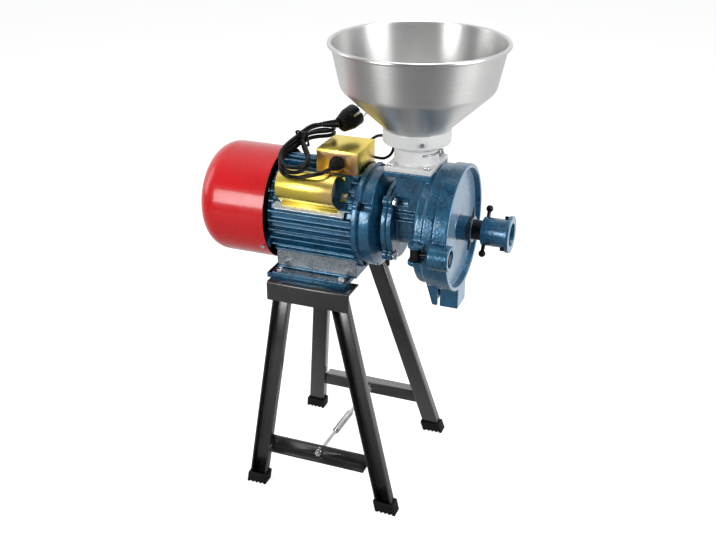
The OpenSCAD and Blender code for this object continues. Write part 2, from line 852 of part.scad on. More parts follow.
spout_gap1 = cover_back - gap_in1;
spout_t = 5;
spout_z = axis_z - mill_r - spout_h;

module mill_outline() {
  r = mill_r - back_step;
  polygon([
    [0, 0], [back_r, 0], [(back_r + r) / 2 + over, over], [r - over, rear_wall / 2],
    [r, rear_wall], [r, mill_l / 2 - over], [mill_r, mill_l / 2 + over], [mill_r, mill_l],
    [0, mill_l]
  ]);
}
module at_clamp_pin() {
  translate([at(clamp_x), -clamp_y, axis_z - clamp_drop]) children();
}
module clamp_lug(z) {
  at_clamp_pin() translate([0, 0, z]) {
    cylinder(r = clamp_lug_l / 2, h = clamp_lug_t);
    translate([-clamp_lug_l / 2, 0, 0]) cube([clamp_lug_l, clamp_y - chamber_r - over, clamp_lug_t]);
  }
}
module knuckle(z0, z1, side) {
  translate([mill_x1, hinge_y, axis_z]) {
    translate([0, 0, z0]) cylinder(r = knuckle_r, h = z1 - z0);
    translate([min(0, side * knuckle_r), chamber_r + knuckle_r - hinge_y, z0])
      cube([knuckle_r, hinge_y - chamber_r - knuckle_r, z1 - z0]);
  }
}
module pin_hole(r) {
  cylinder(r = r, h = mill_r, center = true);
}
module at_neck_bolts() {
  for (sx = [-1, 1], sy = [-1, 1])
    translate([at(hopper_x) + sx * (neck_base_l / 2 - neck_bolt_in),
      sy * (neck_base_w / 2 - neck_bolt_in), 0]) children();
}
neck_bolt_in = 9;
neck_bolt_d = 6;
neck_bolt_af = 10;
neck_bolt_h = 4;

module grinder_body() {
  color(blue) difference() {
    union() {
      flange_lugs(flange_x + flange_t);
      on_shaft(flange_x + flange_t) cylinder(r = flange_r, h = flange_t + over);
      on_shaft(flange_x + flange_t) cylinder(r = barrel_r, h = flange_t + barrel_l + over);
      on_shaft(mill_x0) rotate_extrude() mill_outline();
      block(flange_x + 2 * flange_t - over, mill_x0 + over, -barrel_r, barrel_r, axis_z,
        top_z - top_t / 2);
      translate([at(hopper_x) - neck_base_l / 2, -neck_base_w / 2, top_z - top_t])
        cube([neck_base_l, neck_base_w, top_t]);
      for (z = [barrel_r / 3, 2 * barrel_r / 3])
        block(flange_x + 2 * flange_t - over, mill_x0 + over, -barrel_r - rib_h, 0,
          axis_z + z, axis_z + z + rib_t);
      spout_body();
      clamp_lug(clamp_lug_z);
      clamp_lug(-clamp_lug_z - clamp_lug_t);
      knuckle(knuckle_z, 2 * knuckle_z, -1);
      knuckle(-2 * knuckle_z, -knuckle_z, -1);
    }
    on_shaft(flange_x + flange_t - over)
      cylinder(r = shaft_r + 2 * over, h = flange_t + 2 * over);
    on_shaft(flange_x + 2 * flange_t) cylinder(r = bore, h = barrel_l + rear_wall + over);
    on_shaft(disc_x) cylinder(r = chamber_r, h = mill_l);
    translate([at(hopper_x) - throat_l / 2, -throat_w / 2, axis_z])
      cube([throat_l, throat_w, top_z - axis_z + over]);
    at_flange_bolts(flange_x) cylinder(d = flange_bolt_d + 2 * seat, h = 3 * flange_t);
    at_flange_bolts(flange_x + 2 * flange_t - spot) cylinder(r = lug_r + 2 * over, h = barrel_l / 2);
    at_neck_bolts() translate([0, 0, top_z - top_t - over])
      cylinder(d = neck_bolt_d + 2 * seat, h = top_t + 2 * over);
    at_clamp_pin() {
      cylinder(r = clamp_lug_l / 2 + over, h = 2 * clamp_lug_z, center = true);
      pin_hole(pin_d / 2 + running);
    }
    translate([mill_x1, hinge_y, axis_z]) {
      pin_hole(pin_d / 2 + running);
      cylinder(r = knuckle_r + over, h = 2 * knuckle_z, center = true);
    }
    spout_hollow();
  }
}
// The spout's back half, with a slanting back wall, seen from the side
module spout_profile(x0, x1, x2, z) {
  rotate([90, 0, 0]) linear_extrude(spout_w, center = true)
    polygon([[at(x0), z], [at(x1), spout_z], [at(x2), spout_z], [at(x2), z]]);
}
module spout_body() {
  spout_profile(spout_x0, spout_x1, spout_gap0, axis_z - chamber_r - over);
  block(at(spout_gap0) - over, mill_x1, -spout_w / 2, spout_w / 2, axis_z - mill_r,
    axis_z - chamber_r - over);
}
module spout_hollow() {
  y = spout_w / 2 - spout_t;
  rotate([90, 0, 0]) linear_extrude(2 * y, center = true)
    polygon([
      [disc_x, axis_z - chamber_r + 2 * mill_skin], [disc_x, axis_z - mill_r + mill_skin],
      [at(spout_x1 + spout_t), spout_z - over], [mill_x1 + over, spout_z - over],
      [mill_x1 + over, axis_z - chamber_r + 2 * mill_skin]
    ]);
}
module flange_bolts() {
  color(steel) at_flange_bolts(flange_x + 2 * flange_t - spot)
    bolt(flange_bolt_d, flange_nut_af, flange_nut_h, 2 * flange_t - spot);
}
module shaft_seal() {
  color(black) on_shaft(flange_x) ring(seal_r, shaft_r + running, flange_t);
}

// The grinding discs and the auger
groove_w = 4;
groove_count = 12;
auger_core = 16;
auger_pitch = 30;
flight_t = 5;
auger_gap = 4;
auger_x0 = flange_x + 2 * flange_t + auger_gap;
face_x = disc_x + disc_t;
runner_x = face_x + grind_gap;
module disc_grooves(z) {
  for (i = [0 : groove_count - 1]) rotate([0, 0, i * 360 / groove_count])
    translate([disc_hole + groove_w, -groove_w / 2, z]) cube([disc_r, groove_w, disc_t / 4 + over]);
}
module fixed_disc() {
  color(steel) on_shaft(disc_x) difference() {
    ring(disc_r, disc_hole, disc_t);
    disc_grooves(disc_t - disc_t / 4);
  }
}
module rotating_disc() {
  color(steel) on_shaft(runner_x) difference() {
    cylinder(r = disc_r, h = disc_t);
    translate([0, 0, -over]) cylinder(r = nose_r + running, h = nose_in + 2 * over);
    disc_grooves(-over);
  }
}
module feed_auger() {
  l = runner_x - auger_x0;
  color(steel) on_shaft(auger_x0) {
    ring(auger_core, nose_r + running, l);
    linear_extrude(l, twist = -360 * l / auger_pitch, slices = 24, segments = 8)
      translate([auger_core - over, -flight_t / 2]) square([auger_r - auger_core + over, flight_t]);
  }
}

// Front cover
cover_floor = 6;
dish_rim = 7;
boss_r = 21;
boss_l = 9;
boss_x1 = cover_front + boss_l;
boss_bore = 14;
boss_step = 8;
eye_bolt_d = 8;
module front_cover() {
  hub_x = cover_x1 + hub_l;
  floor_x = cover_x1 - dish;
  color(blue) difference() {
    union() {
      on_shaft(mill_x1) cylinder(r = cover_r, h = cover_l - over);
      on_shaft(cover_x1 - over) cylinder(r1 = cover_r, r2 = cover_r - over, h = over);
      on_shaft(mill_x1 + over) cylinder(r = hub_r, h = cover_l - over + hub_l);
      boss_solid(boss_r, mill_x1, at(boss_x1));
      knuckle(seat - knuckle_z, knuckle_z - seat, 1);
      block(at(spout_gap1), cover_x1, -spout_w / 2, spout_w / 2, spout_z, axis_z - mill_r - over);
      block(mill_x1, cover_x1, -spout_w / 2, spout_w / 2, spout_z, axis_z - chamber_r - over);
    }
    difference() {
      on_shaft(floor_x) cylinder(r1 = cover_r - dish_rim - over, r2 = cover_r - dish_rim,
        h = dish + hub_l);
      on_shaft(floor_x - over) cylinder(r = hub_r, h = dish + hub_l + 2 * over);
      boss_solid(boss_r, mill_x1, at(boss_x1));
    }
    on_shaft(mill_x1 - over) cylinder(r = screw_r + running, h = cover_l + hub_l + 2 * over);
    boss_solid(eye_bolt_d / 2 + loose, mill_x1 - over, at(boss_x1) + over);
    boss_solid(boss_bore, at(boss_x1) - boss_step, at(boss_x1) + over);
    translate([mill_x1, hinge_y, axis_z]) {
      pin_hole(pin_d / 2 + running);
      for (z = [-2 * knuckle_z - seat, knuckle_z - seat]) translate([0, 0, z])
        cylinder(r = knuckle_r + over, h = knuckle_z + 2 * seat);
    }
    y = spout_w / 2 - spout_t;
    block(at(spout_gap1) - over, cover_x1 - spout_t, -y, y, spout_z - over, axis_z - cover_r);
    block(at(spout_gap1) - over, mill_x1, -y, y, spout_z - over, axis_z - mill_r);
  }
}
module boss_solid(r, x0, x1) {
  translate([x0, -clamp_y, axis_z - clamp_drop]) rotate([0, 90, 0]) cylinder(r = r, h = x1 - x0);
}

// The clamp: an eye bolt on its pivot pin, with a nut in the cover's boss
eye_r = 9;
clamp_nut_af = 16;
clamp_nut_h = 7;
module clamp_bolt() {
  l = at(boss_x1) - over - at(clamp_x);
  color(black) difference() {
    union() {
      at_clamp_pin() cylinder(r = eye_r, h = 2 * (clamp_lug_z - seat), center = true);
      boss_solid(eye_bolt_d / 2, at(clamp_x), at(clamp_x) + l);
    }
    at_clamp_pin() pin_hole(pin_d / 2 + running);
  }
}
module clamp_nut() {
  color(black) translate([at(boss_x1) - boss_step, -clamp_y, axis_z - clamp_drop]) rotate([0, 90, 0])
    difference() {
      hex(clamp_nut_af, clamp_nut_h);
      translate([0, 0, -over]) cylinder(r = eye_bolt_d / 2 + running, h = clamp_nut_h + 2 * over);
    }
}
module hinge_pins() {
  color(steel) {
    at_clamp_pin() cylinder(d = pin_d, h = 2 * (clamp_lug_z + clamp_lug_t + over), center = true);
    translate([mill_x1, hinge_y, axis_z])
      cylinder(d = pin_d, h = 2 * (2 * knuckle_z + over), center = true);
  }
}

// Adjusting screw, thrust pin, lock ring and knob
screw_x0 = cover_x1 - dish - cover_floor;
screw_inset = 29;
screw_x1 = at(front_reach) - screw_inset;
thrust_r = 10;
stem_r = 6;
stem_inset = 13;
stem_slot = 2;
spike_r = 3;
spike_reach = 36;
spike_angle = 25;
knob_wall = 13;
recess_r = 19.5;
arm_angle = 30;
arm_r = 3.2;
arm_in = 4;
stub_r = 4;
stub_l = 5;
stub_in = 10;
module thrust_pin() {
  x0 = runner_x + disc_t + seat;
  x1 = at(front_reach) - stem_inset;
  color(steel) difference() {
    union() {
      on_shaft(x0) cylinder(r = thrust_r, h = screw_x0 - seat - x0);
      on_shaft(x0) cylinder(r = stem_r, h = x1 - x0);
    }
    translate([x1 - stem_slot, -stem_r, axis_z - stem_slot / 2])
      cube([2 * stem_slot, 2 * stem_r, stem_slot]);
  }
}
module adjust_screw() {
  color(black) on_shaft(screw_x0) ring(screw_r, stem_r + running, screw_x1 - screw_x0);
}
// Turns its child, drawn along +Z from the shaft, to both sides by an angle from the vertical
module on_both_arms(x, a) {
  on_shaft(x) for (turn = [180 - a, -a]) rotate([0, 0, turn]) rotate([0, 90, 0]) children();
}
module lock_ring() {
  x = cover_x1 + hub_l + seat;
  color(blue) {
    on_shaft(x) ring(hub_r + over, screw_r + running, lock_t);
    on_both_arms(x + lock_t / 2, spike_angle) translate([0, 0, hub_r])
      cylinder(r1 = spike_r, r2 = spike_r / 2, h = spike_reach - hub_r);
  }
}
module adjust_knob() {
  color(blue) difference() {
    on_shaft(at(knob_back)) {
      cylinder(r = knob_r, h = knob_l);
      translate([0, 0, knob_l]) cylinder(r = knob_flange_r, h = knob_flange_t);
    }
    on_shaft(at(knob_back) - over) cylinder(r = screw_r + running, h = knob_wall + 2 * over);
    on_shaft(at(knob_back) + knob_wall) cylinder(r = recess_r, h = knob_l);
    on_both_arms(at(knob_back) + arm_in, arm_angle) translate([0, 0, screw_r + over])
      cylinder(r = arm_r + running, h = knob_r);
    on_both_arms(at(knob_front) - stub_in + stub_r, arm_angle)
      cylinder(r = stub_r + running, h = knob_r + over);
  }
}
module knob_arms() {
  color(black) {
    on_both_arms(at(knob_back) + arm_in, arm_angle) {
      translate([0, 0, screw_r + over]) cylinder(r = arm_r, h = arm_reach - screw_r - over);
      translate([0, 0, arm_reach]) sphere(r = ball_r);
    }
    on_both_arms(at(knob_front) - stub_in + stub_r, arm_angle) translate([0, 0, recess_r + over])
      cylinder(r = stub_r, h = knob_r + stub_l - recess_r - over);
  }
}

// Hopper and its neck, turned round the hopper's axis
cup_wall = 3;
cup_floor = 4;
collar_h = 18;
flare_h = 10;
neck_bore = 28;
gate_z = 26;
gate_t = 2;
gate_r = 30.5;
gate_tab = 6;
gate_knob_r = 4;
gate_knob_h = 7;
screw_count = 3;
screw_turn = -63.5;
hopper_screw_d = 5;
hopper_screw_h = 3;
hopper_z = top_z + neck_h;
cup_r = hopper_bottom_r + hopper_t + seat;
module on_hopper(z) {
  translate([at(hopper_x), 0, z]) children();
}
module at_hopper_screws() {
  on_hopper(hopper_z - 3 * collar_h / 4) for (i = [0 : screw_count - 1])
    rotate([0, 0, screw_turn + i * 360 / screw_count]) rotate([0, 90, 0]) children();
}
module hopper_neck() {
  floor_z = neck_h - collar_h;
  color(white) difference() {
    union() {
      on_hopper(top_z) rotate_extrude() polygon([
        [0, 0], [neck_r, 0], [neck_r, floor_z - cup_floor - flare_h],
        [cup_r + cup_wall, floor_z - cup_floor], [cup_r + cup_wall, neck_h], [0, neck_h]
      ]);
      on_hopper(top_z) translate([-neck_base_l / 2, -neck_base_w / 2, 0])
        cube([neck_base_l, neck_base_w, neck_base_t]);
    }
    on_hopper(top_z - over) cylinder(r = neck_bore, h = neck_h);
    on_hopper(top_z + floor_z) cylinder(r = cup_r, h = collar_h + over);
    on_hopper(top_z + gate_z) gate_shape(gate_r + seat, gate_t + 2 * seat, 2 * neck_r);
    at_neck_bolts() translate([0, 0, top_z]) cylinder(d = neck_bolt_d + 2 * seat, h = neck_base_t * 2);
    at_hopper_screws() cylinder(d = hopper_screw_d + 2 * seat, h = 2 * cup_r);
  }
}
module gate_shape(r, t, reach) {
  translate([0, 0, -t / 2]) {
    cylinder(r = r, h = t);
    translate([0, -r, 0]) cube([reach, 2 * r, t]);
  }
}
module feed_gate() {
  reach = neck_r + gate_tab;
  color(steel) on_hopper(top_z + gate_z) {
    intersection() {
      gate_shape(gate_r, gate_t, reach);
      union() {
        cylinder(r = neck_r + over, h = neck_r, center = true);
        translate([0, -gate_knob_r, -gate_t]) cube([reach, 2 * gate_knob_r, 2 * gate_t]);
      }
    }
    translate([reach, 0, -gate_t / 2]) cylinder(r = gate_knob_r, h = gate_knob_h);
  }
}
module neck_bolts() {
  color(steel) at_neck_bolts() translate([0, 0, top_z + neck_base_t])
    bolt(neck_bolt_d, neck_bolt_af, neck_bolt_h, neck_base_t + top_t);
}
module hopper_screws() {
  color(steel) at_hopper_screws() {
    translate([0, 0, cup_r]) cylinder(d = hopper_screw_d, h = cup_wall + hopper_screw_h / 2);
    translate([0, 0, cup_r + cup_wall + seat]) cylinder(r = hopper_screw_d - over,
      h = hopper_screw_h);
  }
}
module hopper() {
  t = hopper_t;
  h1 = hopper_cone_h;
  h2 = h1 + hopper_wall_h;
  color(steel) on_hopper(hopper_z) rotate_extrude($fn = 96) {
    polygon([
      [hopper_bottom_r, -collar_h], [hopper_bottom_r + t, -collar_h], [hopper_bottom_r + t, 0],
      [bend_r + t, h1], [hopper_r + t, h2], [hopper_r, h2], [bend_r, h1], [hopper_bottom_r, 0]
    ]);
    translate([hopper_r + rim_r, h2]) circle(r = rim_r, $fn = 32);
  }
}

// Tubes: rings of points swept along a route
function unit(v) = v / norm(v);
function between(p, i, t) = let(
  a = p[max(i - 1, 0)], b = p[i], c = p[i + 1], d = p[min(i + 2, len(p) - 1)]
) (2 * b + (c - a) * t + (2 * a - 5 * b + 4 * c - d) * t * t
  + (3 * b - a - 3 * c + d) * t * t * t) / 2;
function smooth(p, n) = concat(
  [for (i = [0 : len(p) - 2], j = [0 : n - 1]) between(p, i, j / n)], [p[len(p) - 1]]);
function heading(p, i) = unit(p[min(i + 1, len(p) - 1)] - p[max(i - 1, 0)]);
module tube(p, r, sides, across) {
  n = len(p);
  polyhedron(
    points = [for (i = [0 : n - 1]) let(
        side = unit(cross(heading(p, i), across)), up = cross(side, heading(p, i))
      ) for (j = [0 : sides - 1])
        p[i] + r * (cos(360 * j / sides) * side + sin(360 * j / sides) * up)],
    faces = concat(
      [for (i = [0 : n - 2], j = [0 : sides - 1]) let(k = (j + 1) % sides)
        each [[i * sides + j, i * sides + k, (i + 1) * sides + k],
          [i * sides + j, (i + 1) * sides + k, (i + 1) * sides + j]]],
      [[for (j = [sides - 1 : -1 : 0]) j]],
      [[for (j = [0 : sides - 1]) (n - 1) * sides + j]]
    )
  );
}

// The cord's free stretches, from the middle of the gland's mouth
cord_start_route = [
  [0, -6, 0], [-2, -15, -0.5], [-7, -22, -2], [-15, -25.5, -4], [-24, -27, -6.5],
  [-34, -27, -9], [-44, -28, -12]
];
cord_lead_route = [
  [-72, 56, 39], [-68, 67, 42], [-62, 76, 44]
];
relief_to = [-52, 80.5, 45];
// The jumper lead's loop, from the foot of the terminal box's back wall
jumper_route = [
  [22, -6, 29], [22, 6, 29.5], [28, 12, 36], [38, 14, 42], [50, 14, 43], [61, 14, 36],
  [66, 14, 24], [61, 14, 11], [50, 14, 3], [38, 14, 2], [28, 12, 4], [22, 6, 9], [22, -6, 10]
];
// The hank is a pinched oval, wound from its low end up over the waist to its high end
hank_low = [-52, -30, -12];
hank_waist = [-71, 48, 18];
hank_high = [-32, 94, 25];
hank_half = (hank_low - hank_high) / 2;
hank_bow = (hank_low + hank_high) / 2 - hank_waist;
hank_rise = 8.2;
hank_pinch = 4;
low_lobe = 52;
high_lobe = 42;
hank_turns = 2.25;
hank_ease_share = 0.25;
loop_rings = 24;
near_rings = 5;
function hank_side(c) = let(v = hank_half + 2 * c * hank_bow) unit([v[1], -v[0], 0]);
function hank_width(c) = hank_pinch
  + (low_lobe * (1 + c) + high_lobe * (1 - c)) / 2 * c * c / sqrt(c * c + hank_ease_share);
function hank_point(turn) = let(c = cos(360 * turn), s = sin(360 * turn))
  hank_waist + c * hank_half + c * c * hank_bow + s * hank_width(c) * hank_side(c)
  + [0, 0, hank_rise * turn];
hank_route = [for (i = [0 : hank_turns * loop_rings]) hank_point(i / loop_rings)];
// Least gap between stretches of the hank that lie near_rings rings apart or more
hank_gap = min([for (i = [0 : len(hank_route) - 1], j = [i + near_rings : 1 : len(hank_route) - 1])
  norm(hank_route[i] - hank_route[j])]) - cord_d;
echo(hank_gap = hank_gap);
// The stretches before and after the hank meet its ends, the gland and the plug square
hank_end = hank_route[len(hank_route) - 1];
join_l = 4;
join_in = hank_low - join_l * heading(hank_route, 0);
join_out = hank_end + join_l * heading(hank_route, len(hank_route) - 1);
relief_from = [-16, 83.5, 50.5];
relief_join = relief_to + join_l * unit(relief_to - relief_from);

module at_gland() {
  translate([at(box_x), -box_w / 2 - gland_collar - gland_l, box_z + gland_z]) children();
}
module cord_tube(p, sides) {
  color(black) at_gland() tube(p, cord_d / 2, sides, [0, 0, 1]);
}
module cord_start() {
  cord_tube(concat([[0, 0, 0]], smooth(concat(cord_start_route, [join_in]), 2), [hank_low]), 8);
}
module cord_hank() { cord_tube(hank_route, 6); }
module cord_lead() {
  line = smooth(concat([join_out], cord_lead_route, [relief_join]), 2);
  cord_tube(concat([hank_end], line, [relief_to]), 8);
}
module jumper_lead() {
  color(black) translate([at(box_x), box_w / 2, box_z])
    tube(smooth(jumper_route, 2), lead_d / 2, 8, [0, 1, 0]);
}
tie_middle = [-71, 48, 28.2];
tie_tilt = [17, 0, -10.6];
tie_w = 19;
tie_h = 25;
tie_l = 5;
tie_t = 1.2;
module cord_tie() {
  color(black) at_gland() translate(tie_middle) rotate(tie_tilt) difference() {
    cube([tie_w + 2 * tie_t, tie_l, tie_h + 2 * tie_t], center = true);
    cube([tie_w, tie_l + 2 * over, tie_h], center = true);
  }
}

// The plug: z runs from its rear to its face, and the pins stand at plug_turn round it
plug_rear = [-14, 80, 49];
plug_lean = [0, 71.3, 63.7];
plug_turn = -31;
plug_l = 37;
plug_taper = 17;
plug_rear_r = 14;
plug_groove = 3;
pin_l = 19;
pin_pitch = 19;
plug_pin_d = 4.8;
relief_r0 = 8;
relief_r1 = 4.5;
module on_plug() {
  at_gland() translate(plug_rear) rotate(plug_lean) rotate([0, 0, plug_turn]) children();
}
module plug_body() {
  run = relief_to - relief_from;
  color(black) difference() {
    union() {
      on_plug() {
        cylinder(r1 = plug_rear_r, r2 = plug_d / 2, h = plug_taper);
        translate([0, 0, plug_taper]) cylinder(d = plug_d, h = plug_l - plug_taper);
      }
      at_gland() translate(relief_from) rotate([0, acos(run[2] / norm(run)), atan2(run[1], run[0])])
        cylinder(r1 = relief_r0, r2 = relief_r1, h = norm(run));
    }
    on_plug() {
      for (s = [-1, 1]) translate([s * pin_pitch / 2, 0, plug_l - pin_l / 2])
        cylinder(d = plug_pin_d + 2 * running, h = pin_l);
      for (s = [-1, 1]) translate([-plug_groove, s * plug_d / 2 - plug_groove / 2, plug_taper])
        translate([0, -plug_groove / 2, plug_groove]) cube([2 * plug_groove, 2 * plug_groove, plug_l]);
    }
  }
}
module plug_pins() {
  color(steel) on_plug() for (s = [-1, 1])
    translate([s * pin_pitch / 2, 0, plug_l - pin_l / 2]) cylinder(d = plug_pin_d, h = 1.5 * pin_l);
}

stand_rail_front();
stand_rail_back();
leg_front_left();
leg_front_right();
leg_back_left();
leg_back_right();
foot_caps();
cross_bar_front();
cross_bar_back();
tie_rod();
rod_sleeve();
tie_rod_nuts();
motor_base_tray();
motor_foot_bolts();
motor_housing();
stator_core();
stator_windings();
rear_end_shield();
front_end_shield();
end_shield_bolts();
motor_bearings();
fan_cowl();
cowl_screws();
motor_shaft();
rotor_core();
cooling_fan();
capacitor_cover();
capacitor();
capacitor_screws();
terminal_box_base();
terminal_box_cover();
terminal_board();
cord_gland();
jumper_lead();
grinder_body();
flange_bolts();
shaft_seal();
fixed_disc();
rotating_disc();
feed_auger();
front_cover();
clamp_bolt();
clamp_nut();
hinge_pins();
thrust_pin();
lock_ring();
adjust_screw();
adjust_knob();
knob_arms();
hopper_neck();
neck_bolts();
feed_gate();
hopper_screws();
hopper();
cord_start();
cord_hank();
cord_lead();
cord_tie();
plug_body();
plug_pins();
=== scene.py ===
"""Looks of the electric grain mill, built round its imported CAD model.

Names that hold sizes or places are in mm, and MM turns them into the scene's metres.
"""

import json
import math

import bmesh
import bpy
from mathutils import Matrix, Vector


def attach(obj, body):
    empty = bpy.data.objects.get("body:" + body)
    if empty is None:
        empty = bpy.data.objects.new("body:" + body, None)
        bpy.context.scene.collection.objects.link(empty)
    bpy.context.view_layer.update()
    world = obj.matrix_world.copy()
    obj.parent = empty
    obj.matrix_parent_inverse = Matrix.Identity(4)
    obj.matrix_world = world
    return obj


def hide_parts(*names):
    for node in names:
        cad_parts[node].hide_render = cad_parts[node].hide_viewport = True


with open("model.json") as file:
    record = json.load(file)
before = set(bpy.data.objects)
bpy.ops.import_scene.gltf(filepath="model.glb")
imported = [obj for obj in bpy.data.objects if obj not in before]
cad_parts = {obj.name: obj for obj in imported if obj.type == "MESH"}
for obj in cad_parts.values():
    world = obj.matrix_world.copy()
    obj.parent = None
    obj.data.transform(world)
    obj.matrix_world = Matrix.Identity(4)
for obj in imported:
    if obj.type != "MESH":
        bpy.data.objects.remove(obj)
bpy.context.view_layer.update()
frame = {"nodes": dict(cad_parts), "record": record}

MM = 0.001
SHIFT_X = -65.15    # from the middle of the base tray to the frame's origin
AXIS_Z = 506.5      # height of the shaft

# Places where the colour differs, as (axis, low, high) spans of the frame: some are paint, and some are painted
# shade (the tray's top, the cowl's inside) and painted reflection (the mill head's ends, partly the box's
# front).
FOOT_WEB = (("X", -131.0, 20.0), ("Y", -61.0, -59.0), ("Z", 413.2, 442.0))
TRAY_TOP_SHADE = (("X", -145.0, 25.0), ("Y", -80.0, -61.0), ("Z", 403.0, 413.2))
ENDS_REFLECTION = (("X", 150.0, 300.0),)
LOCK_RING = (("X", 197.2, 205.1), ("Y", -45.0, 45.0))
BOX_FRONT_TINT_AND_REFLECTION = (("X", -80.0, 40.0), ("Y", -41.0, -39.4), ("Z", 585.0, 624.0))
COWL_INSIDE_SHADE, COWL_SHADE_R = (("X", -230.0, -130.0),), 97.3
# This one is measured from the shaft and turned about it, with the pad under the capacitor.
PAD_LEDGE, PAD_TURN = (("X", -131.0, 14.0), ("Y", -39.0, -24.0), ("Z", 78.5, 79.6)), math.radians(50.5)


def pt(x, y, z):
    """A point given from the middle of the base tray, as metres in the frame."""
    return Vector(((x + SHIFT_X) * MM, y * MM, z * MM))


# Materials

class Nodes:
    """Builds one material's nodes, each placed by the frame's own coordinates."""

    def __init__(self, name, **sockets):
        self.mat = bpy.data.materials.new(name)
        self.mat.use_nodes = True
        self.tree = self.mat.node_tree
        self.shader = self.tree.nodes["Principled BSDF"]
        for key, value in sockets.items():
            self.shader.inputs[key.replace("_", " ")].default_value = value
        self.where = self.add("ShaderNodeTexCoord").outputs["Object"]
        self.height = None

    def add(self, kind, inputs=None, **props):
        node = self.tree.nodes.new(kind)
        for key, value in props.items():
            setattr(node, key, value)
        for key, value in (inputs or {}).items():
            socket = node.inputs[key]
            if isinstance(value, bpy.types.NodeSocket):
                self.tree.links.new(value, socket)
            else:
                socket.default_value = value
        return node

    def maths(self, operation, *values):
        return self.add("ShaderNodeMath", dict(enumerate(values)), operation=operation).outputs[0]

    def axes(self, vector):
        return self.add("ShaderNodeSeparateXYZ", {"Vector": vector}).outputs

    def mapped(self, vector, **how):
        return self.add("ShaderNodeMapping", {"Vector": vector, **how}).outputs[0]

    def noise(self, scale, detail=2.0, where=None, distortion=0.0):
        return self.add("ShaderNodeTexNoise", {"Vector": where or self.where, "Scale": scale,
                        "Detail": detail, "Distortion": distortion}).outputs[0]

    def cells(self, scale):
        return self.add("ShaderNodeTexVoronoi", {"Vector": self.where, "Scale": scale,
                        "Smoothness": 0.6}, feature="SMOOTH_F1").outputs[0]

    def span(self, value, low, high, to_low=0.0, to_high=1.0):
        return self.add("ShaderNodeMapRange", {"Value": value, "From Min": low, "From Max": high,
                        "To Min": to_low, "To Max": to_high}).outputs[0]

    def colours(self, fac, *stops):
        """Colours for a value, by (place, colour) stops."""
        ramp = self.add("ShaderNodeValToRGB", {"Fac": fac})
        ends = ramp.color_ramp.elements
        for end, (at, colour) in ((ends[0], stops[0]), (ends[1], stops[-1])):
            end.position = at
            end.color = (*colour, 1)
        for at, colour in stops[1:-1]:
            ends.new(at).color = (*colour, 1)
        return ramp.outputs[0]

    def mixed(self, fac, a, b):
        """Colour a where fac is 0 and colour b where it is 1."""
        node = self.add("ShaderNodeMix", data_type="RGBA")
        for key, value in ((0, fac), (6, a), (7, b)):
            if isinstance(value, bpy.types.NodeSocket):
                self.tree.links.new(value, node.inputs[key])
            else:
                node.inputs[key].default_value = (*value, 1) if key else value
        return node.outputs[2]

    def within(self, *spans, turn=0.0):
        """1 inside a box of spans, else 0. With a turn, the box is measured from the shaft, turned about it."""
        where = self.where
        if turn:
            where = self.mapped(where, Location=(0, 0, -AXIS_Z * MM))
            where = self.mapped(where, Rotation=(-turn, 0, 0))
        axes = self.axes(where)
        mask = None
        for axis, low, high in spans:
            middle, reach = (low + high) / 2 * MM, (high - low) / 2 * MM
            near = self.maths("COMPARE", axes["XYZ".index(axis)], middle, reach)
            mask = near if mask is None else self.maths("MULTIPLY", mask, near)
        return mask

    def colour(self, value):
        self.tree.links.new(value, self.shader.inputs["Base Color"])

    def rough(self, value, low, high):
        self.tree.links.new(self.span(value, 0.3, 0.7, low, high), self.shader.inputs["Roughness"])

    def bump(self, height, depth, strength=1.0):
        """Adds a bump, with its depth in metres, on top of those before it."""
        inputs = {"Height": height, "Distance": depth, "Strength": strength}
        if self.height is not None:
            inputs["Normal"] = self.height
        self.height = self.add("ShaderNodeBump", inputs).outputs[0]
        self.tree.links.new(self.height, self.shader.inputs["Normal"])
        if self.shader.inputs["Coat Weight"].default_value:
            self.tree.links.new(self.height, self.shader.inputs["Coat Normal"])


def make_blue():
    """Hammer-finish enamel over rough castings.

    It is pale grey on the housing's foot web and bare on its pad. The mill head's forward-facing ends carry a
    painted pale reflection, the lock ring is dark, and the tray's top carries painted shade, near black.
    """
    n = Nodes("hammered_blue", Metallic=0.4, Coat_Weight=0.5, Coat_Roughness=0.12, Specular_IOR_Level=0.7)
    cells, fine, cloud = n.cells(210.0), n.cells(330.0), n.noise(38.0, 3.0)
    deep, light = (0.004, 0.038, 0.080), (0.014, 0.142, 0.275)
    paint = n.mixed(n.span(cells, 0.1, 0.75), light, n.colours(cloud, (0.35, deep), (0.7, light)))
    # The housing's foot web is painted pale grey.
    foot_pale = n.colours(cloud, (0.35, (0.12, 0.16, 0.19)), (0.7, (0.30, 0.34, 0.37)))
    foot_pale = n.mixed(n.span(fine, 0.1, 0.6), (0.40, 0.44, 0.47), foot_pale)
    bare = n.mixed(n.span(fine, 0.1, 0.5), (0.82, 0.84, 0.85), (0.50, 0.55, 0.58))
    # Painted reflection: faces of the mill head that look forward along the shaft are painted pale blue-grey.
    facing = n.axes(n.add("ShaderNodeNewGeometry").outputs["Normal"])[0]
    ends = n.maths("MULTIPLY", n.span(facing, 0.75, 0.95, 0.0, 0.8), n.within(*ENDS_REFLECTION))
    # Over the paint: the foot web in pale grey, the bare pad, painted reflection on the mill head's ends, the
    # dark lock ring, and painted shade on the tray's top.
    for mask, over in ((n.within(*FOOT_WEB), foot_pale),
                       (n.within(*PAD_LEDGE, turn=PAD_TURN), bare),
                       (ends, (0.34, 0.50, 0.66)),
                       (n.within(*LOCK_RING), (0.004, 0.020, 0.035)),
                       (n.within(*TRAY_TOP_SHADE), (0.003, 0.022, 0.040))):
        paint = n.mixed(mask, paint, over)
    n.colour(paint)
    n.rough(n.noise(90.0, 3.0), 0.24, 0.40)
    n.bump(n.noise(30.0, 2.0), 0.0010, 0.6)
    n.bump(cells, 0.0003, 0.7)
    n.bump(n.noise(900.0, 2.0), 0.00008, 0.5)
    return n.mat


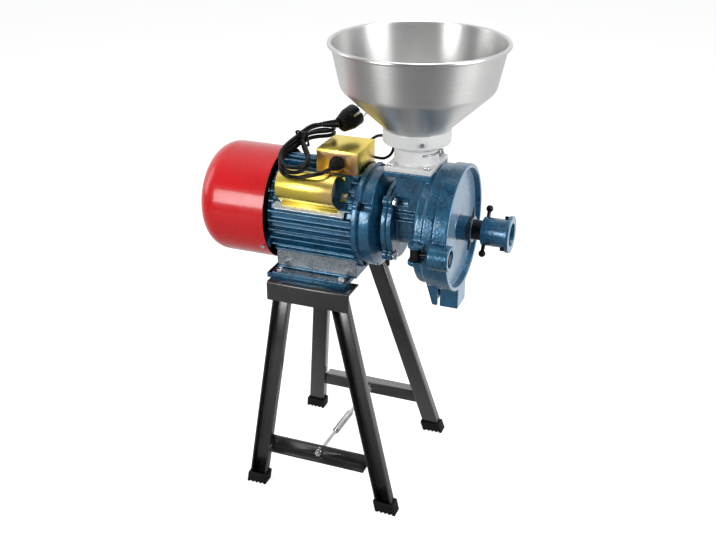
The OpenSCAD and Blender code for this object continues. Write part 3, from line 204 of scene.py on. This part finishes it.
def make_red():
    """Smooth enamel on the cowl, with painted shade, near black, on its inside."""
    n = Nodes("red_enamel", Metallic=0.0, Coat_Weight=0.5, Coat_Roughness=0.10, Specular_IOR_Level=0.3)
    red = n.colours(n.noise(5.0, 3.0), (0.3, (0.64, 0.006, 0.010)), (0.7, (0.72, 0.009, 0.014)))
    across = n.mapped(n.where, Location=(0, 0, -AXIS_Z * MM), Scale=(0, 1, 1))
    radius = n.add("ShaderNodeVectorMath", {0: across}, operation="LENGTH").outputs["Value"]
    # Painted shade: inside the cowl, within a radius of the shaft, the red is painted near black.
    lining = n.maths("MULTIPLY", n.maths("LESS_THAN", radius, COWL_SHADE_R * MM), n.within(*COWL_INSIDE_SHADE))
    n.colour(n.mixed(lining, red, (0.012, 0.002, 0.003)))
    n.rough(n.noise(60.0, 3.0), 0.24, 0.34)
    n.bump(n.noise(420.0, 2.0), 0.00006, 0.5)
    n.bump(n.noise(14.0, 1.0), 0.0006, 0.25)
    return n.mat


def make_black_coat():
    n = Nodes("black_powder_coat", Metallic=0.0, Coat_Weight=1.0, Coat_Roughness=0.12, Specular_IOR_Level=0.6)
    n.colour(n.colours(n.noise(20.0, 4.0), (0.3, (0.006, 0.006, 0.0065)), (0.75, (0.013, 0.0125, 0.013))))
    n.rough(n.noise(45.0, 4.0), 0.26, 0.40)
    n.bump(n.noise(1100.0, 2.0), 0.00010, 0.6)
    return n.mat


def make_rubber(name, grey, rough=(0.5, 0.7), grain=0.00012):
    n = Nodes(name, Metallic=0.0, Specular_IOR_Level=0.18)
    dark, pale = (tuple(c * share for c in (grey, grey, grey * 1.05)) for share in (0.7, 1.5))
    n.colour(n.colours(n.noise(35.0, 4.0), (0.3, dark), (0.75, pale)))
    n.rough(n.noise(80.0, 3.0), *rough)
    n.bump(n.noise(1300.0, 2.0), grain, 0.6)
    return n.mat


def make_metal(name, dark, light, rough=(0.2, 0.36), grain=600.0, depth=0.00005):
    n = Nodes(name, Metallic=1.0)
    n.colour(n.colours(n.noise(55.0, 4.0), (0.3, dark), (0.72, light)))
    n.rough(n.noise(120.0, 4.0), *rough)
    n.bump(n.noise(grain, 3.0), depth, 0.6)
    return n.mat


def make_chromate():
    """Yellow chromate over zinc, with its drifting pink and green tints. The box's front face is tinted coppery
    and darker: partly the chromate's own tint, partly painted reflection.
    """
    n = Nodes("yellow_chromate", Metallic=1.0)
    drift = n.noise(9.0, 2.0, distortion=0.5)
    tint = n.colours(drift, (0.28, (0.97, 0.60, 0.36)), (0.42, (0.95, 0.70, 0.20)),
                     (0.52, (0.94, 0.72, 0.13)), (0.62, (0.88, 0.72, 0.11)), (0.76, (0.96, 0.62, 0.34)))
    # The box's front face: chromate's coppery tint, painted darker as a painted reflection of the darker room
    # in front of it.
    copper = n.colours(n.noise(26.0, 2.0), (0.3, (0.50, 0.36, 0.12)), (0.7, (0.72, 0.42, 0.28)))
    n.colour(n.mixed(n.within(*BOX_FRONT_TINT_AND_REFLECTION), tint, copper))
    n.rough(n.noise(40.0, 3.0), 0.26, 0.36)
    n.bump(n.noise(22.0, 1.0), 0.0004, 0.25)
    n.bump(n.noise(800.0, 2.0), 0.00003, 0.4)
    return n.mat


def make_stainless():
    """Spun sheet: fine lines run round the hopper's axis, so lights stretch into bands down its slope."""
    n = Nodes("brushed_stainless", Metallic=1.0, Anisotropic=0.8, Anisotropic_Rotation=0.25)
    lines = n.noise(1.0, 3.0, n.mapped(n.where, Scale=(3.0, 3.0, 1500.0)))
    n.colour(n.colours(lines, (0.3, (0.60, 0.60, 0.59)), (0.72, (0.68, 0.68, 0.67))))
    n.rough(n.noise(12.0, 2.0), 0.32, 0.38)
    n.bump(lines, 0.00001, 0.3)
    return n.mat


def make_white():
    n = Nodes("white_enamel", Metallic=0.0, Coat_Weight=0.4, Coat_Roughness=0.2, Specular_IOR_Level=0.5)
    n.colour(n.colours(n.noise(25.0, 3.0), (0.3, (0.74, 0.75, 0.75)), (0.7, (0.84, 0.84, 0.83))))
    n.rough(n.noise(80.0, 3.0), 0.3, 0.42)
    n.bump(n.noise(60.0, 2.0), 0.0004, 0.4)
    n.bump(n.noise(700.0, 2.0), 0.00006, 0.5)
    return n.mat


MATERIALS = {
    "hammered_blue": make_blue(),
    "red_enamel": make_red(),
    "black_powder_coat": make_black_coat(),
    "black_rubber": make_rubber("black_rubber", 0.007),
    "black_plastic": make_rubber("black_plastic", 0.009, (0.35, 0.5), 0.00006),
    "grey_plastic": make_rubber("grey_plastic", 0.12, (0.35, 0.5), 0.00006),
    "black_pvc": make_rubber("black_pvc", 0.005, (0.28, 0.42), 0.00004),
    "bright_zinc": make_metal("bright_zinc", (0.55, 0.56, 0.57), (0.75, 0.76, 0.77)),
    "turned_steel": make_metal("turned_steel", (0.42, 0.43, 0.45), (0.62, 0.63, 0.65), (0.22, 0.38)),
    "laminated_steel": make_metal("laminated_steel", (0.2, 0.2, 0.21), (0.34, 0.34, 0.36), (0.4, 0.55),
                                  1500.0),
    "disc_iron": make_metal("disc_iron", (0.16, 0.16, 0.17), (0.30, 0.30, 0.31), (0.38, 0.55), 300.0, 0.0003),
    "black_oxide": make_metal("black_oxide", (0.012, 0.012, 0.014), (0.045, 0.045, 0.05), (0.25, 0.42)),
    "copper_wire": make_metal("copper_wire", (0.40, 0.15, 0.06), (0.62, 0.28, 0.13), (0.25, 0.4),
                              900.0, 0.0003),
    "nickel": make_metal("nickel", (0.62, 0.60, 0.56), (0.78, 0.76, 0.72), (0.12, 0.22)),
    "yellow_chromate": make_chromate(),
    "stainless": make_stainless(),
    "white_enamel": make_white(),
}
SLOT_OF = {s["node"]: s["material_slot"] for s in frame["record"]["subparts"]}
BODY_OF = {n: b for b, names in frame["record"]["behaviour"]["bodies"].items() for n in names}

# Shaping

TURNED_ANGLE, DRESSED_ANGLE, CABLE_ANGLE, CAST_ANGLE = 38, 40, 50, 60    # degrees; sharper edges stay hard


def shade(mesh, angle):
    mesh.shade_smooth()
    mesh.set_sharp_from_angle(angle=math.radians(angle))


def as_object(name, mesh):
    obj = bpy.data.objects.new(name, mesh)
    bpy.context.scene.collection.objects.link(obj)
    return obj


def mesh_of(name, bm):
    """The finished mesh of bm, which is freed."""
    mesh = bpy.data.meshes.new(name)
    bm.to_mesh(mesh)
    bm.free()
    return mesh


def welded_copy(node, flat=0.4):
    """A mesh with the CAD node's shape, its seams welded and its flat faces whole."""
    bm = bmesh.new()
    bm.from_mesh(frame["nodes"][node].data)
    bmesh.ops.remove_doubles(bm, verts=bm.verts, dist=2e-6)
    if flat:
        bmesh.ops.dissolve_limit(bm, angle_limit=math.radians(flat), verts=bm.verts, edges=bm.edges)
    mesh = mesh_of(node + "_dressed", bm)
    if "custom_normal" in mesh.attributes:
        mesh.attributes.remove(mesh.attributes["custom_normal"])
    return mesh


def baked(obj):
    """Replaces the object's mesh with what its modifiers make of it."""
    made = bpy.data.meshes.new_from_object(obj.evaluated_get(bpy.context.evaluated_depsgraph_get()))
    obj.modifiers.clear()
    obj.data = made
    return obj


def settle(obj, node, *more):
    """obj stands for the node and any more nodes, on the node's body and with its material slot."""
    obj.data.materials.clear()
    obj.data.materials.append(MATERIALS[SLOT_OF[node]])
    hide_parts(node, *more)
    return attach(obj, BODY_OF[node])


def rounded_edges(obj, width, segments, angle):
    """Rounds the edges sharper than an angle in degrees, to a width."""
    bevel = obj.modifiers.new("edges", "BEVEL")
    bevel.limit_method = "ANGLE"
    bevel.angle_limit = math.radians(angle)
    bevel.width = width * MM
    bevel.segments = segments
    baked(obj)
    shade(obj.data, DRESSED_ANGLE)
    return obj


def dressed(node, width):
    """The node with its edges rounded to a width."""
    obj = as_object(node + "_dressed", welded_copy(node))
    return settle(rounded_edges(obj, width, 2, 32), node)


FOLD_LENGTH, FOLD_WIDTH, FOLD_TURN = 100, 8, math.radians(60)    # the least of what counts as a folded corner


def bent(node, radius):
    """Folded steel: the outer corners along its length rounded to a radius, the rest of its edges broken."""
    mesh = welded_copy(node)
    bm = bmesh.new()
    bm.from_mesh(mesh)
    folds = [e for e in bm.edges if len(e.link_faces) == 2 and e.calc_length() > FOLD_LENGTH * MM
             and e.is_convex and e.calc_face_angle() > FOLD_TURN
             and min(f.calc_area() for f in e.link_faces) / e.calc_length() > FOLD_WIDTH * MM]
    bmesh.ops.bevel(bm, geom=folds, offset=radius * MM, segments=6, profile=0.5, affect="EDGES")
    bm.to_mesh(mesh)
    bm.free()
    return settle(rounded_edges(as_object(node + "_bent", mesh), 0.7, 2, 50), node)


def cast(node, voxel, rounds, keep):
    """The node as a casting: every edge and inner corner softened."""
    obj = as_object(node + "_cast", welded_copy(node, 0))
    remesh = obj.modifiers.new("remesh", "REMESH")
    remesh.mode = "VOXEL"
    remesh.voxel_size = voxel * MM * 1.0
    smooth = obj.modifiers.new("smooth", "SMOOTH")
    smooth.factor = 0.5
    smooth.iterations = rounds
    obj.modifiers.new("lean", "DECIMATE").ratio = keep
    baked(obj)
    shade(obj.data, CAST_ANGLE)
    return settle(obj, node)


def lathe(name, outline, steps, axis="X"):
    """A closed outline of (distance along, radius) turned round the shaft or round +Z, from the origin."""
    bm = bmesh.new()
    rings = []
    for i in range(steps):
        a = 2 * math.pi * i / steps
        c, s = math.cos(a), math.sin(a)
        ring = []
        for along, r in outline:
            place = (along, -r * c, r * s) if axis == "X" else (r * c, r * s, along)
            ring.append(bm.verts.new([v * MM for v in place]))
        rings.append(ring)
    n = len(outline)
    for i in range(steps):
        a, b = rings[i], rings[(i + 1) % steps]
        for j in range(n):
            k = (j + 1) % n
            if outline[j][1] < 1e-6 and outline[k][1] < 1e-6:
                continue
            bm.faces.new((a[j], a[k], b[k], b[j]))
    bmesh.ops.remove_doubles(bm, verts=bm.verts, dist=1e-7)
    bmesh.ops.recalc_face_normals(bm, faces=bm.faces)
    mesh = mesh_of(name, bm)
    shade(mesh, TURNED_ANGLE)
    return as_object(name, mesh)


def arc(cx, cy, r, a0, a1, steps):
    """Points of an arc, by angles in degrees."""
    angles = (math.radians(a0 + (a1 - a0) * i / steps) for i in range(steps + 1))
    return [(cx + r * math.cos(a), cy + r * math.sin(a)) for a in angles]


def rounded(path, radius, steps=6):
    """An open path of 2-D points with its inner corners rounded."""
    made = [path[0]]
    for i in range(1, len(path) - 1):
        a, b, c = (Vector(p) for p in path[i - 1:i + 2])
        cut_by = min(radius, (a - b).length * 0.45, (c - b).length * 0.45)
        p, q = b + (a - b).normalized() * cut_by, b + (c - b).normalized() * cut_by
        for t in (k / steps for k in range(steps + 1)):
            made.append(tuple(p * (1 - t) ** 2 + 2 * b * t * (1 - t) + q * t * t))
    return made + [path[-1]]


def offset(path, by):
    """The path moved sideways by a distance, to its left."""
    made = []
    for i, p in enumerate(path):
        a, b = Vector(path[max(i - 1, 0)]), Vector(path[min(i + 1, len(path) - 1)])
        d = (b - a).normalized()
        made.append((p[0] - d.y * by, p[1] + d.x * by))
    return made


def moved(obj, x, y, z, turn=Matrix.Identity(4)):
    """Turns the mesh itself and then moves it to a point given from the middle of the base tray."""
    obj.data.transform(Matrix.Translation(pt(x, y, z)) @ turn)
    return obj


def joined(name, *objs):
    """One object of several, whose meshes stay as they are."""
    bm = bmesh.new()
    for o in objs:
        bm.from_mesh(o.data)
        bpy.data.objects.remove(o)
    mesh = mesh_of(name, bm)
    shade(mesh, TURNED_ANGLE)
    return as_object(name, mesh)


def box_of(name, low, high, edge):
    """A block between two corners, with rounded edges."""
    bm = bmesh.new()
    bmesh.ops.create_cube(bm, size=1)
    for v in bm.verts:
        for k in range(3):
            v.co[k] = (low[k] if v.co[k] < 0 else high[k]) * MM
    bmesh.ops.bevel(bm, geom=bm.edges[:], offset=edge * MM, segments=2, profile=0.5, affect="EDGES")
    return as_object(name, mesh_of(name, bm))


def cut(obj, *tools):
    """Takes the tools out of the object."""
    for tool in tools:
        boolean = obj.modifiers.new("cut", "BOOLEAN")
        boolean.object = tool
        boolean.solver = "EXACT"
        boolean.use_self = True
    baked(obj)
    for tool in tools:
        bpy.data.objects.remove(tool)
    shade(obj.data, TURNED_ANGLE)
    return obj


def smooth_line(points, per):
    """A smooth curve through points, as a list of vectors, with some steps per point."""
    line = []
    for i in range(len(points) - 1):
        a, b, c, d = (Vector(points[min(max(j, 0), len(points) - 1)]) for j in (i - 1, i, i + 1, i + 2))
        for t in (k / per for k in range(per)):
            line.append((2 * b + (c - a) * t + (2 * a - 5 * b + 4 * c - d) * t ** 2
                         + (3 * b - a - 3 * c + d) * t ** 3) / 2)
    return line + [Vector(points[-1])]


def cable(name, line, radius, sides=12):
    """A round tube along a line of points in metres, closed at both ends."""
    bm = bmesh.new()
    rings = []
    side = None
    spokes = [(math.cos(2 * math.pi * j / sides), math.sin(2 * math.pi * j / sides)) for j in range(sides)]
    for i, p in enumerate(line):
        ahead = (line[min(i + 1, len(line) - 1)] - line[max(i - 1, 0)]).normalized()
        side = ahead.cross(Vector((0, 0, 1))) if side is None else side - ahead * side.dot(ahead)
        side.normalize()
        up = side.cross(ahead)
        rings.append([bm.verts.new(p + radius * (c * side + s * up)) for c, s in spokes])
    for a, b in zip(rings, rings[1:]):
        for j in range(sides):
            bm.faces.new((a[j], a[(j + 1) % sides], b[(j + 1) % sides], b[j]))
    bm.faces.new(reversed(rings[0]))
    bm.faces.new(rings[-1])
    bmesh.ops.recalc_face_normals(bm, faces=bm.faces)
    mesh = mesh_of(name, bm)
    shade(mesh, CABLE_ANGLE)
    return as_object(name, mesh)


# Camera, light and floor

CAMERA_AT = (680.82, -1591.03, 1209.67)
AZIMUTH, DOWN = math.radians(21.2), math.radians(25.5)
LENS, SENSOR = 53.59, 36
camera_data = bpy.data.cameras.new("camera")
camera_data.lens = LENS
camera_data.sensor_width = SENSOR
camera = bpy.data.objects.new("camera", camera_data)
bpy.context.scene.collection.objects.link(camera)
camera.location = pt(*CAMERA_AT)
back = Vector((math.sin(AZIMUTH) * math.cos(DOWN), -math.cos(AZIMUTH) * math.cos(DOWN), math.sin(DOWN)))
camera.rotation_euler = (-back).to_track_quat("-Z", "Y").to_euler()
bpy.context.scene.camera = camera
bpy.context.scene.view_settings.view_transform = "Standard"

# Each lamp's place, aim and size in metres, and its watts.
# The key lamp makes the cowl's and the hopper's highlights.
MIDDLE = (0.0, 0.0, 0.45)
LAMPS = {
    "key": ((-0.95, -2.0, 1.02), (-0.19, 0.0, 0.5), (0.8, 0.9), 25),
    "right": ((2.3, -0.4, 1.1), MIDDLE, (1.2, 1.6), 34),
    "left": ((-2.3, -0.3, 1.2), MIDDLE, (0.8, 1.4), 8),
    "top": ((0.1, 0.2, 2.6), MIDDLE, (1.6, 1.6), 22),
}
for name, (at, aim, size, watts) in LAMPS.items():
    lamp = bpy.data.lights.new(name, "AREA")
    lamp.shape = "RECTANGLE"
    lamp.size, lamp.size_y = size
    lamp.energy = watts
    softbox = bpy.data.objects.new(name, lamp)
    bpy.context.scene.collection.objects.link(softbox)
    softbox.location = Vector(at)
    softbox.rotation_euler = (Vector(at) - Vector(aim)).to_track_quat("Z", "Y").to_euler()


def make_world():
    """A white room: plain light on what is matt, and darker towards the viewer's side in reflections."""
    world = bpy.data.worlds.new("world")
    bpy.context.scene.world = world
    world.use_nodes = True
    tree = world.node_tree
    tree.nodes.clear()

    def background(colour, strength):
        node = tree.nodes.new("ShaderNodeBackground")
        node.inputs[0].default_value = (*colour, 1)
        node.inputs[1].default_value = strength
        return node

    def chosen(ray, other, this):
        mix = tree.nodes.new("ShaderNodeMixShader")
        for socket, value in zip(mix.inputs, (ray, other, this)):
            tree.links.new(value, socket)
        return mix.outputs[0]

    rays = tree.nodes.new("ShaderNodeLightPath").outputs
    direction = tree.nodes.new("ShaderNodeSeparateXYZ")
    tree.links.new(tree.nodes.new("ShaderNodeTexCoord").outputs["Generated"], direction.inputs[0])
    depth = tree.nodes.new("ShaderNodeMapRange")
    tree.links.new(direction.outputs[1], depth.inputs["Value"])
    for key, value in (("From Min", -0.75), ("From Max", 0.25), ("To Min", 0.10), ("To Max", 1.0)):
        depth.inputs[key].default_value = value
    light = background((0.95, 0.97, 1.0), 0.22)
    mirrored = background((0.97, 0.98, 1.0), 1.0)
    tree.links.new(depth.outputs[0], mirrored.inputs[1])
    seen = background((1, 1, 1), 1.0)
    surface = chosen(rays["Is Glossy Ray"], light.outputs[0], mirrored.outputs[0])
    surface = chosen(rays["Is Transmission Ray"], surface, seen.outputs[0])
    surface = chosen(rays["Is Camera Ray"], surface, seen.outputs[0])
    tree.links.new(surface, tree.nodes.new("ShaderNodeOutputWorld").inputs[0])


def make_floor(half=9.0):
    """A floor that takes shadows. It glows where the camera sees it and, further back, in reflections."""
    mesh = bpy.data.meshes.new("floor")
    corners = [(-half, -half, 0), (half, -half, 0), (half, half, 0), (-half, half, 0)]
    mesh.from_pydata(corners, [], [(0, 1, 2, 3)])
    floor = as_object("floor", mesh)
    n = Nodes("floor", Metallic=0.0, Roughness=0.8, Specular_IOR_Level=0.1)
    rays = n.add("ShaderNodeLightPath").outputs
    camera_ray = rays["Is Camera Ray"]
    pale = n.colours(n.noise(3.0, 3.0), (0.3, (0.74, 0.74, 0.74)), (0.7, (0.77, 0.77, 0.77)))
    n.colour(n.mixed(camera_ray, (0.36, 0.36, 0.36), pale))
    shown = n.maths("MAXIMUM", camera_ray, n.span(n.axes(n.where)[1], -0.2, 0.5, 0.0, 0.8))
    glow = n.add("ShaderNodeEmission", {"Strength": n.maths("MULTIPLY", shown, 0.76)})
    drawn = n.maths("MAXIMUM", camera_ray, rays["Is Glossy Ray"])
    drawn = n.maths("MAXIMUM", drawn, rays["Is Transmission Ray"])
    both = n.add("ShaderNodeAddShader", {0: n.shader.outputs[0], 1: glow.outputs[0]})
    picked = n.add("ShaderNodeMixShader", {0: drawn, 1: n.shader.outputs[0], 2: both.outputs[0]})
    n.tree.links.new(picked.outputs[0], n.tree.nodes["Material Output"].inputs["Surface"])
    floor.data.materials.append(n.mat)


make_world()
make_floor()

# The mains cord in its tied hank, and the jumper lead

START = [(42, -74, 607), (40, -83, 606.5), (35, -90, 605), (27, -93.5, 603), (18, -95, 600.5), (8, -95, 598),
         (-2, -96, 595)]
LEAD = [(-30, -12, 646), (-26, -1, 649), (-20, 8, 651)]
GLAND_MOUTH = Vector((42, -68, 607))
RELIEF_FROM, RELIEF_TO = Vector((26, 15.5, 657.5)), Vector((-10, 12.5, 652))
JUMPER = [(64, 34, 617), (64, 46, 617.5), (70, 52, 624), (80, 54, 630), (92, 54, 631), (103, 54, 624),
          (108, 54, 612), (103, 54, 599), (92, 54, 591), (80, 54, 590), (70, 52, 592), (64, 46, 597),
          (64, 34, 598)]
CORD_D, JUMPER_R = 6.6, 2.5
JOIN = 4.0          # straight length where two lines of the cord meet
LOW, WAIST, HIGH = Vector((-10, -98, 595)), Vector((-29, -20, 625)), Vector((10, 26, 632))
LOW_LOBE, HIGH_LOBE, PINCH = 52.0, 42.0, 4.0
RISE, TURNS, TURN_STEPS = 8.2, 2.25, 48


def hank_point(turn):
    """A point of the hank: a bent figure with two lobes, pinched at its waist, that climbs with each turn."""
    c, s = math.cos(2 * math.pi * turn), math.sin(2 * math.pi * turn)
    half, bow = (LOW - HIGH) / 2, (LOW + HIGH) / 2 - WAIST
    along = half + 2 * c * bow
    across = Vector((along.y, -along.x, 0)).normalized()
    width = PINCH + (LOW_LOBE * (1 + c) + HIGH_LOBE * (1 - c)) / 2 * c * c / math.sqrt(c * c + 0.25)
    return WAIST + c * half + c * c * bow + s * width * across + Vector((0, 0, RISE * turn))


hank = [hank_point(i / TURN_STEPS) for i in range(int(TURNS * TURN_STEPS) + 1)]
join_in = hank[0] + JOIN * (hank[0] - hank[1]).normalized()
join_out = hank[-1] + JOIN * (hank[-1] - hank[-2]).normalized()
relief_join = RELIEF_TO + JOIN * (RELIEF_TO - RELIEF_FROM).normalized()
cord_line = ([GLAND_MOUTH] + smooth_line([*START, join_in], 5) + hank
             + smooth_line([join_out, *LEAD, relief_join], 5) + [RELIEF_TO])
cord_line = [pt(*p) for p in cord_line]
cord = cable("power_cord", cord_line, CORD_D / 2 * MM)
settle(cord, "cord_hank", "cord_start", "cord_lead")

jumper = cable("jumper_lead_sheath", [pt(*p) for p in smooth_line(JUMPER, 6)], JUMPER_R * MM)
settle(jumper, "jumper_lead")

# The hopper, with a collar, a cone, a wall and a rolled rim. The points are (height, radius).

HOPPER_X, HOPPER_Z, HOPPER_T = 167.5, 672.5, 1.2
RIM_H, RIM_R, BEAD_R = 138, 139, 3.6
inner = rounded([(-18, 52), (0, 52), (68, 125), (RIM_H, RIM_R)], 6)
bead = arc(RIM_H, RIM_R + BEAD_R, BEAD_R, -90, 215, 22)
outer = [p for p in reversed(offset(inner, HOPPER_T)) if p[0] < RIM_H - 4]
hopper = lathe("hopper_shell", inner + bead + outer, 192, "Z")
settle(moved(hopper, HOPPER_X, 0, HOPPER_Z), "hopper")

# The fan cowl, a drawn cup with slots in two lengths round its end

COWL_X, COWL_R, COWL_L, COWL_ROUND, COWL_T, COWL_LIP = -72.0, 98.0, 133.0, 40.0, 1.5, 0.6
SLOTS, SLOT_HALF_W, SLOT_ENDS = 20, 2.5, ((14, 50), (28, 58))
skin = [(-COWL_LIP, COWL_R), (-COWL_L + COWL_ROUND, COWL_R)]
skin += arc(-COWL_L + COWL_ROUND, COWL_R - COWL_ROUND, COWL_ROUND, 90, 180, 18)[1:]
skin += [(-COWL_L, 20), (-COWL_L, 0)]
lining = offset(skin, COWL_T)
lining[-1] = (-COWL_L + COWL_T, 0)
lining[0] = (-COWL_LIP, COWL_R - COWL_T)
cowl = lathe("fan_cowl_shell", [(0, COWL_R - COWL_T / 2), *skin, *reversed(lining)], 160)
slots = []
for i in range(SLOTS):
    r0, r1 = SLOT_ENDS[i % 2]
    slot = box_of("slot", (-COWL_L - 5, -SLOT_HALF_W, r0), (-COWL_L + 8, SLOT_HALF_W, r1), 1.2)
    slot.data.transform(Matrix.Rotation(2 * math.pi * i / SLOTS, 4, "X"))
    slots.append(slot)
cowl = cut(cowl, joined("slots", *slots))
settle(moved(cowl, COWL_X, 0, AXIS_Z), "fan_cowl")


def ribbed(count, pitch, first, radius, step, rib):
    """Ribs along an outline: each adds the (along, out) points of a rib to a radius that changes by a step."""
    return [(first + pitch * i + along, radius + step * i + out) for i in range(count) for along, out in rib]


# The cord's gland

GLAND_AT = (42.0, -40.0, 607.0)
GLAND_FLANGE = [(-7.5, 0), (-7.5, 9.5), (-7.0, 10), (-2.0, 10), (-1.5, 9.5), (-1.5, 7), (0, 7), (0, 11.2),
                (0.8, 12), (5.2, 12), (6, 11.4), (6.6, 10.8)]
GLAND_RIBS = ribbed(6, 3, 9.5, 10.6, -1.05, ((0, 0), (1.9, -0.5), (2.1, -1.5), (2.9, -1.7)))
gland = lathe("gland_ribbed", [*GLAND_FLANGE, *GLAND_RIBS, (28, 4.2), (28, 0)], 48, "Z")
settle(moved(gland, *GLAND_AT, Matrix.Rotation(math.radians(90), 4, "X")), "cord_gland")

# The plug, with its grip, side grooves, relief, earth clips and pins

PLUG_REAR, PLUG_HEAD, PLUG_DIP, PLUG_ROLL = (28, 12, 656), 63.7, 71.3, -31
lean = (Matrix.Rotation(math.radians(PLUG_HEAD), 4, "Z") @ Matrix.Rotation(math.radians(PLUG_DIP), 4, "Y")
        @ Matrix.Rotation(math.radians(PLUG_ROLL), 4, "Z"))
GRIP_RIBS = ribbed(5, 2.9, 2, 14.3, 0.8, ((0, 0), (1.9, 0.5), (2.2, -0.4), (2.6, -0.4)))
PLUG_OUTLINE = [(0, 0), (0, 12.6), (0.8, 13.8), *GRIP_RIBS, (17.2, 18.2), (18.5, 19), (35.8, 19),
                (36.7, 18.7), (37, 18), (37, 16.4), (36.2, 16), (36.2, 0)]
GROOVE_R, GROOVE_HALF = 19, 3
plug = lathe("plug_moulding", PLUG_OUTLINE, 64, "Z")
plug = cut(plug, *[box_of("groove", (-GROOVE_HALF, s * GROOVE_R - GROOVE_HALF, 20),
                          (GROOVE_HALF, s * GROOVE_R + GROOVE_HALF, 45), 0.5) for s in (-1, 1)])
run = RELIEF_TO - RELIEF_FROM
RELIEF_RIBS = ribbed(9, 3.6, 0, 8, -3.3 / 9, ((0, 0), (2.2, -0.2), (2.5, -1.3), (3.3, -1.4)))
relief = lathe("relief", [(0, 0), *RELIEF_RIBS, (run.length, 4.3), (run.length, 0)], 32, "Z")
along_run = run.to_track_quat("Z", "Y").to_matrix().to_4x4()
plug = joined("plug_moulding", moved(plug, *PLUG_REAR, lean), moved(relief, *RELIEF_FROM, along_run))
settle(plug, "plug_body")

CLIP_R, CLIP_HALF_W, CLIP_HALF_T = 16.6, 2.2, 0.5
clips = [box_of("clip", (-CLIP_HALF_W, s * CLIP_R - CLIP_HALF_T, 21),
                (CLIP_HALF_W, s * CLIP_R + CLIP_HALF_T, 36), 0.3) for s in (-1, 1)]
clips = joined("plug_earth_clips", *[moved(clip, *PLUG_REAR, lean) for clip in clips])
clips.data.materials.append(MATERIALS["nickel"])
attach(clips, BODY_OF["plug_body"])

PIN_OUTLINE = [(0, 0), (0, 2.4), (26.2, 2.4), (27.6, 1.9), (28.4, 1.1), (28.5, 0)]
PIN_SIDE, PIN_FROM = 9.5, 27.5
pins = joined("plug_pins_turned", *[
    moved(lathe("pin", PIN_OUTLINE, 24, "Z"), *PLUG_REAR,
          lean @ Matrix.Translation((s * PIN_SIDE * MM, 0, PIN_FROM * MM))) for s in (-1, 1)])
settle(pins, "plug_pins")

# Everything else, node by node: folded steel, pieces with rounded edges, and castings

for name in ("stand_rail_front", "stand_rail_back", "leg_front_left", "leg_front_right", "leg_back_left",
             "leg_back_right", "cross_bar_front", "cross_bar_back"):
    bent(name, 4.0)
EDGES = {
    0.9: ("foot_caps", "motor_base_tray"),
    0.5: ("tie_rod_nuts", "motor_foot_bolts", "flange_bolts", "neck_bolts", "end_shield_bolts",
          "capacitor_screws", "cowl_screws", "hopper_screws", "clamp_nut"),
    0.6: ("adjust_knob", "lock_ring", "feed_gate", "terminal_board"),
    0.4: ("cord_tie",),
    0.7: ("terminal_box_base", "terminal_box_cover", "capacitor_cover"),
}
edged = {name: dressed(name, width) for width, names in EDGES.items() for name in names}
# Each casting's voxel, rounds of smoothing and share of faces kept
for name, voxel, rounds, keep in (("motor_housing", 0.9, 5, 0.35), ("front_end_shield", 0.9, 6, 0.35),
                                  ("rear_end_shield", 1.4, 4, 0.4), ("grinder_body", 1.1, 7, 0.35),
                                  ("front_cover", 1.0, 6, 0.35), ("hopper_neck", 0.9, 6, 0.4)):
    cast(name, voxel, rounds, keep)

for name, obj in frame["nodes"].items():
    if not obj.hide_render:
        obj.data.materials.clear()
        obj.data.materials.append(MATERIALS[SLOT_OF[name]])
